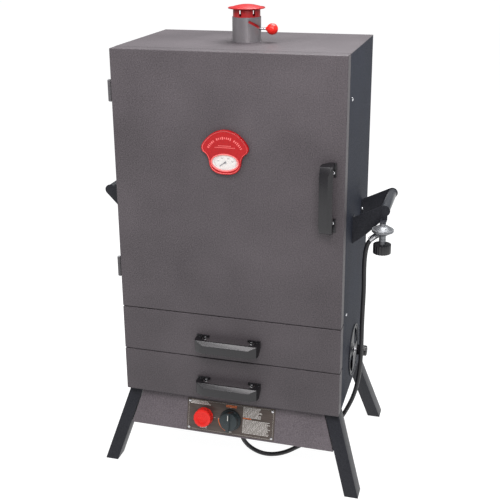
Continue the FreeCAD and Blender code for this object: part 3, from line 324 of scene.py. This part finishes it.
def lathe(made, profile, centre=(0, 0, 0), turn=None, steps=64, closed=True):
    """A turned solid: profile is radius and height, from one end of its axis to the other."""
    turn = turn or Matrix()
    rings = []
    for radius, height in profile:
        if radius < 1e-7:
            point = turn @ Vector((0, 0, height)) + Vector(centre)
            rings.append([made.verts.new(point)])
            continue
        ring = []
        for index in range(steps):
            angle = 2 * math.pi * index / steps
            point = Vector((radius * math.cos(angle), radius * math.sin(angle), height))
            ring.append(made.verts.new(turn @ point + Vector(centre)))
        rings.append(ring)
    pairs = list(zip(rings, rings[1:]))
    if closed:
        pairs.append((rings[-1], rings[0]))
    for low, high in pairs:
        for index in range(steps):
            after = (index + 1) % steps
            corners = [low[index % len(low)], low[after % len(low)],
                       high[after % len(high)], high[index % len(high)]]
            corners = list(dict.fromkeys(corners))
            if len(corners) > 2:
                made.faces.new(corners)


def block(made, low, high, frame_to=None):
    frame_to = frame_to or Matrix()
    spots = [(x, y, z) for x in (low[0], high[0]) for y in (low[1], high[1]) for z in (low[2], high[2])]
    verts = [made.verts.new(frame_to @ Vector(spot)) for spot in spots]
    for face in ((0, 1, 3, 2), (4, 6, 7, 5), (0, 4, 5, 1), (2, 3, 7, 6), (0, 2, 6, 4), (1, 5, 7, 3)):
        made.faces.new([verts[i] for i in face])


def facing(x, y, z, turn=None):
    """Places a piece that was made facing -Y."""
    return Matrix.Translation((x, y, z)) @ (turn or Matrix())


TURN_FRONT = Matrix.Rotation(math.radians(90), 4, "X")     # an axis along Z turns to point along -Y


set_camera()
set_studio()
set_materials()
paint_nodes()


# ------------------------------------------------------------------ the hose

CORD_BASE = Vector((0, -0.200, 0.220))
HOSE_POINTS = [
    (16, 46, -86), (16, 46, -125), (36, 52, -166), (82, 58, -190), (136, 64, -182), (186, 70, -150),
    (236, 80, -116), (280, 94, -84), (306, 106, -44), (330, 112, 14), (341, 112, 80), (344, 111, 150),
    (343, 112, 240), (345, 113, 330), (343, 113, 396), (345, 114, 438), (352, 114, 468), (370, 114, 483)]
HOSE_WIDE = 0.012


def add_ferrule(name, at, way, body):
    """A crimped sleeve over a hose end."""
    made = bmesh.new()
    turn = way.to_track_quat("Z", "Y").to_matrix().to_4x4()
    profile = [(0.0, 0.0), (0.0070, 0.0), (0.0077, 0.0006)]
    for index in range(3):
        start = 0.0035 + index * 0.0045
        profile += [(0.0077, start), (0.0071, start + 0.0006)]
        profile += [(0.0071, start + 0.0018), (0.0077, start + 0.0024)]
    profile += [(0.0077, 0.0175), (0.0070, 0.0182), (0.0, 0.0182)]
    lathe(made, profile, at, turn, 40, closed=False)
    return add_piece(name, finish_mesh(made, name), "bolt", body)


def make_hose():
    curve = bpy.data.curves.new("gas_hose_look", "CURVE")
    curve.dimensions = "3D"
    curve.bevel_depth = HOSE_WIDE / 2
    curve.bevel_resolution = 8
    curve.resolution_u = 24
    curve.use_fill_caps = True
    spline = curve.splines.new("NURBS")
    spline.points.add(len(HOSE_POINTS) - 1)
    points = [Vector(spot) * MM + CORD_BASE for spot in HOSE_POINTS]
    for point, spot in zip(spline.points, points):
        point.co = (*spot, 1)
    spline.order_u = 3
    spline.use_endpoint_u = True
    curve.materials.append(MATERIALS["hose"])
    hose = bpy.data.objects.new("gas_hose_look", curve)
    bpy.context.collection.objects.link(hose)
    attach(hose, "cabinet")
    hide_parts("gas_hose")
    first = add_ferrule("hose_ferrule_valve", points[0], points[1] - points[0], "cabinet")
    last = add_ferrule("hose_ferrule_regulator", points[-1], points[-2] - points[-1], "cabinet")
    return hose, tuple(points[0]), [first, last]


hose_look, hose_exit, ferrules = make_hose()


# ------------------------------------------------------------------ handles and their screws

for stem, body in (("door", "door"), ("upper_drawer", "upper_drawer"), ("lower_drawer", "lower_drawer")):
    soften(stem + "_handle", "plastic", body, 0.0022, 3)


def screw_head(made, frame_to, radius=0.0045, tall=0.0026):
    """A pan head with a cross recess, facing -Y."""
    turn = frame_to @ TURN_FRONT
    slot_out = tall * 0.11
    profile = [(0.0, 0.0), (radius, 0.0), (radius, tall * 0.35), (radius * 0.86, tall * 0.78),
               (radius * 0.6, tall * 0.96), (0.0, tall)]
    lathe(made, profile, (0, 0, 0), turn, 28, closed=False)
    arm = radius * 0.58
    half = radius * 0.13
    for along, across in ((arm, half), (half, arm)):
        block(made, (-along, -tall - 0.00012, -across), (along, -tall + slot_out, across), frame_to)


def handle_screws(stem, body):
    low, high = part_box(stem + "_screws")
    made = bmesh.new()
    wide = high[0] - low[0] > high[2] - low[2]
    radius = 0.0045
    if wide:
        spots = [(low[0] + radius, (low[2] + high[2]) / 2), (high[0] - radius, (low[2] + high[2]) / 2)]
    else:
        spots = [((low[0] + high[0]) / 2, low[2] + radius), ((low[0] + high[0]) / 2, high[2] - radius)]
    for x, z in spots:
        screw_head(made, facing(x, FACE - 0.004, z), 0.0046, 0.0028)
    piece = add_piece(stem + "_screws_look", finish_mesh(made, stem), "bolt", body)
    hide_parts(stem + "_screws")


handle_screws("door_handle", "door")
handle_screws("upper_drawer", "upper_drawer")
handle_screws("lower_drawer", "lower_drawer")


# ------------------------------------------------------------------ folded sheet parts with rounded edges

for leg in ("front_left_leg", "front_right_leg", "rear_left_leg", "rear_right_leg"):
    soften(leg, "powder_dark", "cabinet", 0.0006, 2)
soften("apron", "powder_apron", "cabinet", 0.0006, 2)
soften("side_handle_brackets", "powder_dark", "cabinet", 0.0006, 2)
soften("side_handle_tubes", "powder_tube", "cabinet", 0.0006, 2)
soften("hinge_cabinet_leaves", "hinge", "cabinet", 0.0004, 2)
soften("hinge_door_leaves", "hinge", "door", 0.0004, 2)
soften("control_plate", "bronze", "cabinet", 0.0004, 2)
soften("igniter_knob", "red_knob", "igniter_knob", 0.0005, 2)
soften("burner_knob", "knob_teal", "burner_knob", 0.0010, 3)
nut_look = soften("coupling_nut", "plastic", "coupling_nut", 0.0005, 2)
soften("flue_pipe", "flue_grey", "cabinet", 0.0003, 2)
soften("flue_sleeve", "red_matt", "flue_sleeve", 0.0003, 2)


def split_drawer(node):
    """A drawer whose painted front and bare bin have their own finishes."""
    made = bmesh.new()
    made.from_mesh(NODES[node].data)
    edge = FACE + 0.0365
    for face in made.faces:
        face.material_index = 1 if max(v.co.y for v in face.verts) > edge else 0
    mesh = bpy.data.meshes.new(node + "_look")
    made.to_mesh(mesh)
    made.free()
    piece = add_piece(node + "_look", mesh, ["powder", "galvanised"], node, 30)
    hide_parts(node)


split_drawer("upper_drawer")
split_drawer("lower_drawer")


# ------------------------------------------------------------------ thermometer

BADGE_EDGE = (
    (0, 772), (16, 769.5), (32, 762.5), (46, 751), (56, 739.5), (61.5, 729), (61.5, 721.5), (58.5, 715),
    (53, 711), (48, 705.5), (44.5, 698.5), (42.5, 691), (41.5, 684), (39.5, 676), (35, 668.5),
    (28, 662.5), (19, 658.8), (9.5, 657.2), (0, 657))
BADGE_MIDDLE = 714.0
DIAL_Z = 688.0
DIAL_WIDE = 34.0
DIAL_TALL = 20.0
DIAL_START = math.radians(214)      # where the scale begins, and how far it runs
DIAL_SWEEP = math.radians(248)


def smooth_closed(points, steps=5):
    """A closed outline through its points, with rounded turns."""
    count = len(points)
    found = []
    for index in range(count):
        p0, p1, p2, p3 = (Vector(points[(index + shift) % count]) for shift in (-1, 0, 1, 2))
        for step in range(steps):
            t = step / steps
            found.append(0.5 * (2 * p1 + (p2 - p0) * t + (2 * p0 - 5 * p1 + 4 * p2 - p3) * t ** 2
                                + (3 * p1 - p0 - 3 * p2 + p3) * t ** 3))
    return found


def badge_outline():
    half = list(BADGE_EDGE)
    whole = half + [(-x, z) for x, z in reversed(half[1:-1])]
    return smooth_closed([(x, z - BADGE_MIDDLE) for x, z in whole])


def front_spot(x, out, z):
    """Millimetres across, in front of the door and above the cabinet's underside, as a point."""
    return Vector((x * MM, FACE - out * MM, BASE + z * MM))


def loops(made, rows, materials=None):
    """Bridges rows of points that all have the same count."""
    rings = [[made.verts.new(spot) for spot in row] for row in rows]
    count = len(rings[0])
    for level, (low, high) in enumerate(zip(rings, rings[1:])):
        for index in range(count):
            after = (index + 1) % count
            face = made.faces.new((low[index], low[after], high[after], high[index]))
            if materials:
                face.material_index = materials[level]
    return rings


def make_badge():
    edge = badge_outline()
    angles = [math.atan2(p.y + BADGE_MIDDLE - DIAL_Z, p.x) for p in edge]

    def ring(scale, out):
        return [front_spot(p.x * scale, out, BADGE_MIDDLE + p.y * scale) for p in edge]

    def oval(grow, out):
        found = []
        for angle in angles:
            turn = math.atan2(math.sin(angle) / (DIAL_TALL + grow), math.cos(angle) / (DIAL_WIDE + grow))
            found.append(front_spot(
                (DIAL_WIDE + grow) * math.cos(turn), out, DIAL_Z + (DIAL_TALL + grow) * math.sin(turn)))
        return found

    rows = [ring(0.995, 0.05), ring(1.0, 0.6), ring(1.0, 9.2), ring(0.992, 10.2), ring(0.978, 10.6),
            ring(0.952, 10.6), ring(0.940, 10.1), ring(0.935, 9.3), ring(0.925, 9.0), ring(0.915, 9.05),
            oval(3.8, 9.1), oval(3.4, 9.9), oval(2.4, 10.5), oval(1.4, 10.3), oval(0.4, 9.4),
            oval(0.0, 5.02)]
    tones = [0, 0, 0, 0, 0, 1, 1, 0, 0, 0, 0, 1, 1, 1, 1]
    made = bmesh.new()
    rings = loops(made, rows, materials=tones)
    made.faces.new(rings[0])
    piece = add_piece("thermometer_plate_look", finish_mesh(made, "badge"), ["red", "red_edge"], "door",
                      40)
    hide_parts("thermometer_plate")


def make_badge_ornament():
    """Plain raised ribs along the arch, and two plain bars under them."""
    made = bmesh.new()
    centre = 704.0
    for index in range(21):
        angle = math.radians(152 - index * 6.2)
        if index in (5, 14):
            continue
        tall = 7.0 if index % 4 == 1 else 5.2
        radius = 47.5
        middle = Matrix.Translation(front_spot(
            radius * math.cos(angle) * 1.02, 9.0, centre + radius * math.sin(angle)))
        turn = Matrix.Rotation(-(angle - math.pi / 2), 4, "Y")
        wide = 1.15 if index % 3 else 1.6
        block(made, (-wide * MM, -0.5 * MM, -tall / 2 * MM), (wide * MM, 0, tall / 2 * MM), middle @ turn)
    for start, stop, z in ((-26, 26, 727.0), (-17, 17, 731.5)):
        spot = start
        while spot < stop:
            middle = Matrix.Translation(front_spot(spot, 9.0, z))
            block(made, (0, -0.4 * MM, -0.9 * MM), (2.3 * MM, 0, 0.9 * MM), middle)
            spot += 3.4
    bevel(made, 0.00012, 1)
    add_piece("thermometer_ornament", finish_mesh(made, "ribs"), "red_edge", "door")


def dial_place(share, angle, out):
    across = DIAL_WIDE * share * math.cos(angle)
    return front_spot(across, out, DIAL_Z + DIAL_TALL * share * math.sin(angle))


def make_dial_marks():
    ink, hot, warm = bmesh.new(), bmesh.new(), bmesh.new()
    steps = 50
    for index in range(steps + 1):
        angle = DIAL_START - DIAL_SWEEP * index / steps
        major = index % 5 == 0
        inner = 0.74 if major else 0.80
        half = 0.16 if major else 0.09
        near, far = dial_place(inner, angle, 6.0), dial_place(0.88, angle, 6.0)
        way = (far - near).normalized()
        side = way.cross(Vector((0, 1, 0))) * half * MM
        lift = Vector((0, -0.0001, 0))
        corners = [near - side, near + side, far + side, far - side]
        top = [ink.verts.new(c + lift) for c in corners]
        low = [ink.verts.new(c) for c in corners]
        ink.faces.new(top)
        for i in range(4):
            ink.faces.new((top[i], low[i], low[(i + 1) % 4], top[(i + 1) % 4]))
    for made, low, high in ((warm, 0.30, 0.62), (hot, 0.74, 0.97)):
        span = 24
        rows = []
        for index in range(span + 1):
            angle = DIAL_START - DIAL_SWEEP * (low + (high - low) * index / span)
            rows.append([dial_place(0.90, angle, 6.08), dial_place(0.955, angle, 6.08)])
        for one, two in zip(rows, rows[1:]):
            made.faces.new([made.verts.new(c) for c in (one[0], one[1], two[1], two[0])])
    for name, made, paint in (("dial_ticks", ink, "ink"), ("dial_band_hot", hot, "red_knob"),
                              ("dial_band_warm", warm, "orange")):
        bmesh.ops.remove_doubles(made, verts=made.verts, dist=1e-6)
        add_piece("thermometer_" + name, finish_mesh(made, name), paint, "door", 0)


def make_dial_numbers():
    for value, share in ((100, 0.2), (200, 0.4), (300, 0.6), (400, 0.8)):
        angle = DIAL_START - DIAL_SWEEP * share
        text = bpy.data.curves.new("dial_number_%d" % value, "FONT")
        text.body = str(value)
        text.size = 0.0044
        text.align_x = "CENTER"
        text.align_y = "CENTER"
        text.extrude = 0.00004
        text.materials.append(MATERIALS["ink"])
        number = bpy.data.objects.new("dial_number_%d" % value, text)
        number.location = dial_place(0.58, angle, 6.08)
        number.rotation_euler = (math.radians(90), 0, 0)
        bpy.context.collection.objects.link(number)
        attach(number, "door")


make_badge()
make_badge_ornament()
make_dial_marks()
make_dial_numbers()


# ------------------------------------------------------------------ control plate

LEAN = math.radians(13.7896)
APRON = Matrix.Translation((0, FACE + 0.020, BASE)) @ Matrix.Rotation(-LEAN, 4, "X")
KNOB_Z = -61.0
IGNITER_X = -76.0
PRINT_OUT = -1.2


class Steps:
    """A short fixed sequence that varies the printed bars the same way on every run."""

    def __init__(self, seed):
        self.value = seed

    def next(self, low, high):
        self.value = (self.value * 1103515245 + 12345) % 2147483648
        return low + (high - low) * (self.value / 2147483648)


def printed_lines(made, left, right, top, lines, pitch, tall, steps, ragged=0.25):
    """Lines of plain bars that stand for small print."""
    for line in range(lines):
        z = top - line * pitch
        stop = right - (right - left) * steps.next(0, ragged)
        x = left
        while x < stop:
            long = steps.next(2.0, 8.0)
            end = min(x + long, stop)
            if end - x > 0.8:
                block(made, (x * MM, (PRINT_OUT - 0.1) * MM, (z - tall) * MM),
                      (end * MM, PRINT_OUT * MM, z * MM), APRON)
            x = end + 1.0


def arc_band(made, centre_x, centre_z, radius, wide, start, stop, count=24):
    rows = []
    for index in range(count + 1):
        angle = math.radians(start + (stop - start) * index / count)
        row = []
        for reach in (radius, radius + wide):
            spot = Vector(((centre_x + reach * math.cos(angle)) * MM, (PRINT_OUT - 0.1) * MM,
                           (centre_z + reach * math.sin(angle)) * MM))
            row.append(APRON @ spot)
        rows.append(row)
    for one, two in zip(rows, rows[1:]):
        made.faces.new([made.verts.new(c) for c in (one[0], one[1], two[1], two[0])])


def radial_tick(made, centre_x, centre_z, radius, long, angle, half=0.5):
    angle = math.radians(angle)
    turn = Matrix.Translation((centre_x * MM, 0, centre_z * MM)) @ Matrix.Rotation(-angle, 4, "Y")
    block(made, (radius * MM, (PRINT_OUT - 0.1) * MM, -half * MM),
          ((radius + long) * MM, PRINT_OUT * MM, half * MM), APRON @ turn)


def make_panel_print():
    steps = Steps(7)
    pale, warm = bmesh.new(), bmesh.new()
    printed_lines(pale, -118, -58, -18.5, 3, 3.6, 1.7, steps)
    printed_lines(pale, 36, 92, -19.5, 9, 3.3, 1.3, steps)
    printed_lines(pale, 36, 116, -54.5, 12, 3.3, 1.3, steps, 0.15)
    printed_lines(pale, -88, -66, -89.0, 2, 3.6, 1.9, steps, 0.05)
    printed_lines(warm, -14, 18, -19.5, 2, 3.8, 2.3, steps, 0.05)
    printed_lines(warm, 36, 60, -49.5, 1, 3.6, 1.8, steps, 0.05)
    arc_band(warm, 0, KNOB_Z, 33.5, 2.0, 178, 262)
    for angle in (90, 180, 270):
        radial_tick(pale, 0, KNOB_Z, 33.0, 3.5, angle)
    printed_lines(pale, -3.5, 6, -94.5, 1, 3.0, 1.8, steps, 0.0)
    radial_tick(pale, IGNITER_X, KNOB_Z, 28.5, 4.0, 0)
    for low, high in (((-122.5, -17.0), (122.5, -16.7)), ((-122.5, -100.2), (122.5, -99.9)),
                      ((-122.5, -100.2), (-122.2, -16.7)), ((122.2, -100.2), (122.5, -16.7))):
        block(pale, (low[0] * MM, (PRINT_OUT - 0.08) * MM, low[1] * MM),
              (high[0] * MM, PRINT_OUT * MM, high[1] * MM), APRON)
    add_piece("control_print_pale", finish_mesh(pale, "pale"), "print", "cabinet", 0)
    add_piece("control_print_warm", finish_mesh(warm, "warm"), "orange", "cabinet", 0)


def make_knob_marks():
    made = bmesh.new()
    frame_to = APRON @ Matrix.Translation((0, 0, KNOB_Z * MM))
    block(made, (-0.7 * MM, -31.12 * MM, 6 * MM), (0.7 * MM, -31.0 * MM, 21 * MM), frame_to)
    add_piece("burner_knob_pointer", finish_mesh(made, "pointer"), "print", "burner_knob",
              0)
    made = bmesh.new()
    frame_to = APRON @ Matrix.Translation((IGNITER_X * MM, -22.5 * MM, KNOB_Z * MM)) @ TURN_FRONT
    for radius in (5.0, 9.0, 13.0):
        profile = [((radius - 0.7) * MM, 0.0), ((radius - 0.4) * MM, 0.5 * MM),
                   ((radius + 0.4) * MM, 0.5 * MM), ((radius + 0.7) * MM, 0.0)]
        lathe(made, profile, (0, 0, 0), frame_to, 48)
    add_piece("igniter_knob_rings", finish_mesh(made, "rings"), "red_knob", "igniter_knob")


make_panel_print()
make_knob_marks()


# ------------------------------------------------------------------ flue

def make_flue():
    low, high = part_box("flue_cap")
    centre = Vector(((low[0] + high[0]) / 2, (low[1] + high[1]) / 2, 0))
    top = high[2]
    rim = (high[0] - low[0]) / 2
    made = bmesh.new()
    profile = [(0.0, top)]
    dome = (rim ** 2 + 0.0105 ** 2) / (2 * 0.0105)
    for share in (0.15, 0.3, 0.45, 0.6, 0.75, 0.88, 0.95):
        radius = rim * share
        profile.append((radius, top - dome + math.sqrt(dome ** 2 - radius ** 2)))
    edge = low[2] + 0.0016
    for angle in (70, 40, 10, -20, -50, -80, -110, -140, -170):
        turn = math.radians(angle)
        profile.append((rim - 0.0019 + 0.0019 * math.cos(turn), edge + 0.0016 * math.sin(turn)))
    for share in (0.9, 0.7, 0.5, 0.3, 0.1):
        radius = rim * share
        profile.append((radius, top - dome + math.sqrt(dome ** 2 - radius ** 2) - 0.0016))
    profile.append((0.0, top - 0.0016))
    lathe(made, profile, centre, None, 96, closed=False)
    piece = add_piece("flue_cap_look", finish_mesh(made, "cap"), "red_matt", "flue_cap", 50)
    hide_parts("flue_cap")
    low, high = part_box("flue_ball")
    middle = (Vector(low) + Vector(high)) / 2
    axis = Vector((0, centre.y, middle.z))
    way = (middle - axis).normalized()
    turn = way.to_track_quat("Z", "Y").to_matrix().to_4x4()
    made = bmesh.new()
    radius = 0.015
    profile = [(0.0, -radius - 0.002), (0.0048, -radius - 0.002), (0.0052, -radius - 0.0004),
               (0.0052, -0.0141)]
    for index in range(2, 24):
        angle = math.pi * index / 24
        profile.append((radius * math.sin(angle), -radius * math.cos(angle)))
    profile.append((0.0, radius))
    lathe(made, profile[3:], middle, turn, 48, closed=False)
    lathe(made, profile[:4] + [(0.0, -0.0141)], middle, turn, 32, closed=False)
    piece = add_piece("flue_ball_look", finish_mesh(made, "ball"), "red_knob", "flue_sleeve",
                      60)
    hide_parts("flue_ball")


make_flue()


# ------------------------------------------------------------------ air dampers

def make_damper_knob(side, sign):
    low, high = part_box(side + "_damper_knob")
    middle = (Vector(low) + Vector(high)) / 2
    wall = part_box("cabinet_%s_side" % side)
    wall = wall[1][0] if sign > 0 else wall[0][0]
    turn = Matrix.Rotation(math.radians(90 * sign), 4, "Y")
    spot = Vector((wall, middle.y, middle.z))
    made = bmesh.new()
    rows = [(0, -9), (8, -9), (8, -2.2), (4, -2), (4, 1.9), (8.7, 2), (9, 2.6), (9, 4.4), (8.4, 5),
            (4.6, 5.2), (4.6, 12), (0, 12)]
    lathe(made, [(radius * MM, out * MM) for radius, out in rows], spot, turn, 48, closed=False)
    add_piece(side + "_damper_stem", finish_mesh(made, "stem"), "bolt", side + "_damper")
    made = bmesh.new()
    rows = []
    steps = 96
    for share, out in ((0.60, 11.9), (0.93, 12.0), (1.0, 13.4), (1.0, 36.5), (0.96, 38.9), (0.86, 39.9),
                       (0.62, 40.0), (0.56, 39.0), (0.2, 39.0)):
        row = []
        for index in range(steps):
            angle = 2 * math.pi * index / steps
            flute = 1 - 0.055 * (0.5 + 0.5 * math.cos(8 * angle)) ** 3 * (1 if share > 0.9 else 0)
            radius = 15 * share * flute * MM
            row.append(turn @ Vector((radius * math.cos(angle), radius * math.sin(angle), out * MM)) + spot)
        rows.append(row)
    rings = loops(made, rows)
    made.faces.new(rings[0])
    made.faces.new(rings[-1])
    knob = add_piece(side + "_damper_knob_look", finish_mesh(made, "knob"), "plastic", side + "_damper",
                     40)
    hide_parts(side + "_damper_knob")


make_damper_knob("left", -1)
make_damper_knob("right", 1)


# ------------------------------------------------------------------ regulator

def make_regulator():
    nut_low, nut_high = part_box("coupling_nut")
    x, y = (nut_low[0] + nut_high[0]) / 2, (nut_low[1] + nut_high[1]) / 2
    made = bmesh.new()
    rows = [(0, 446), (4.6, 446), (7, 447), (7, 467), (7, 469), (8.8, 469.2), (9, 469.8), (9, 476),
            (8.2, 476.6), (8.2, 478), (9, 478.6), (9, 487), (12.5, 487.4), (14.2, 489), (22, 493.6),
            (26.5, 496.2), (28.1, 497.0),
            (28.5, 497.6), (28.5, 499.6), (27.7, 500.0), (27.7, 500.6), (28.5, 501.0), (28.5, 502.9),
            (28.0, 503.5), (24.5, 503.8), (22.6, 505.4), (18.5, 508.9), (14.0, 511.4), (12.4, 512.4),
            (10.8, 512.8), (10.2, 513.6), (8.4, 514.2), (8, 514.8), (8, 518.8), (7.2, 520.6), (5, 521),
            (0, 521)]
    profile = [(radius * MM, BASE + up * MM) for radius, up in rows]
    lathe(made, profile, (x, y, 0), None, 72, closed=False)
    for index in range(8):
        angle = math.radians(22.5 + 45 * index)
        spot = (x + 25.4 * MM * math.cos(angle), y + 25.4 * MM * math.sin(angle), BASE + 503.4 * MM)
        lathe(made, [(0, 0), (1.7 * MM, 0), (1.7 * MM, 1.0 * MM), (1.2 * MM, 1.5 * MM), (0, 1.6 * MM)],
              spot, None, 20, closed=False)
    for index in range(6):
        angle = math.radians(60 * index)
        turn = Matrix.Translation((x, y, BASE)) @ Matrix.Rotation(angle, 4, "Z")
        block(made, (13 * MM, -0.9 * MM, 506.0 * MM), (20 * MM, 0.9 * MM, 509.4 * MM), turn)
    end = Vector(HOSE_POINTS[-1]) * MM + CORD_BASE
    before = Vector(HOSE_POINTS[-2]) * MM + CORD_BASE
    way = (end - before).normalized()
    turn = way.to_track_quat("Z", "Y").to_matrix().to_4x4()
    lathe(made, [(0, 0), (7.4 * MM, 0), (8 * MM, 0.7 * MM), (8 * MM, 4 * MM), (7.2 * MM, 4.6 * MM),
                 (7.2 * MM, 19 * MM), (0, 19 * MM)], end, turn, 36, closed=False)
    lathe(made, [(0, 5 * MM), (8.0 * MM, 5 * MM), (8.0 * MM, 10 * MM), (0, 10 * MM)], end, turn, 6,
          closed=False)
    piece = add_piece("regulator_look", finish_mesh(made, "regulator"), "cast", "cabinet",
                      32)
    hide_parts("regulator_body")
    return piece


# ------------------------------------------------------------------ bolts and screws of the cabinet

def hex_head(made, spot, turn, radius=0.005, tall=0.0026):
    profile = [(0, 0.0), (radius, 0.0), (radius, tall * 0.8), (radius * 0.9, tall), (0, tall)]
    lathe(made, profile, spot, turn, 6, closed=False)


def dome_head(made, spot, turn, radius=0.005, tall=0.0026):
    profile = [(0, 0)]
    for angle in (0, 20, 40, 60, 80):
        turned = math.radians(angle)
        profile.append((radius * math.cos(turned), tall * math.sin(turned)))
    profile.append((0, tall))
    lathe(made, profile, spot, turn, 32, closed=False)


CARRY_BOLTS_BACK = (150, 294)       # carrying-handle bolts, behind the door's face
CARRY_BOLTS_UP = (496, 463)
CATCH_BOLTS_UP = (268, 848)
LEG_BOLTS_BACK = (52, 354)
LEG_BOLT_SHIFT = 9


def make_bolts():
    made = bmesh.new()
    half = DOOR_HIGH[0]
    for sign in (-1, 1):
        turn = Matrix.Rotation(math.radians(90 * sign), 4, "Y")
        for along in CARRY_BOLTS_BACK:
            for up in CARRY_BOLTS_UP:
                hex_head(made, (sign * (half + 0.002), FACE + along * MM, BASE + up * MM), turn)
        if sign > 0:
            for up in CATCH_BOLTS_UP:
                dome_head(made, (half, FACE + 76 * MM, BASE + up * MM), turn)
    down = Matrix.Rotation(math.radians(180), 4, "X")
    for sign in (-1, 1):
        for along in LEG_BOLTS_BACK:
            for shift in (-LEG_BOLT_SHIFT, LEG_BOLT_SHIFT):
                spot = (sign * (half - 0.0235) + shift * MM, FACE + along * MM, BASE - 0.002)
                hex_head(made, spot, down, 0.005, 0.003)
    for x in (-120, 120):
        for up in (-20.5, -96.5):
            spot = Matrix.Translation((x * MM, PRINT_OUT * MM, up * MM))
            screw_head(made, APRON @ spot, 0.0040, 0.0018)
    piece = add_piece("cabinet_bolts_look", finish_mesh(made, "bolts"), "bolt", "cabinet",
                      30)
    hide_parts("cabinet_bolts")


def make_burner_ports():
    made = bmesh.new()
    centre = Vector((0, FACE + 223 * MM, 0))
    for ring, count, up in ((60.0, 48, -9.0), (60.0, 48, -14.0)):
        for index in range(count):
            angle = 2 * math.pi * (index + (0.5 if up < -10 else 0)) / count
            way = Vector((math.cos(angle), math.sin(angle), 0))
            turn = way.to_track_quat("Z", "Y").to_matrix().to_4x4()
            spot = centre + way * (ring - 0.2) * MM + Vector((0, 0, BASE + up * MM))
            lathe(made, [(0, 0), (1.1 * MM, 0), (1.1 * MM, 0.3 * MM), (0, 0.3 * MM)], spot, turn, 10,
                  closed=False)
    add_piece("burner_ports", finish_mesh(made, "ports"), "ink", "cabinet", 30)


regulator_look = make_regulator()
make_bolts()
make_burner_ports()
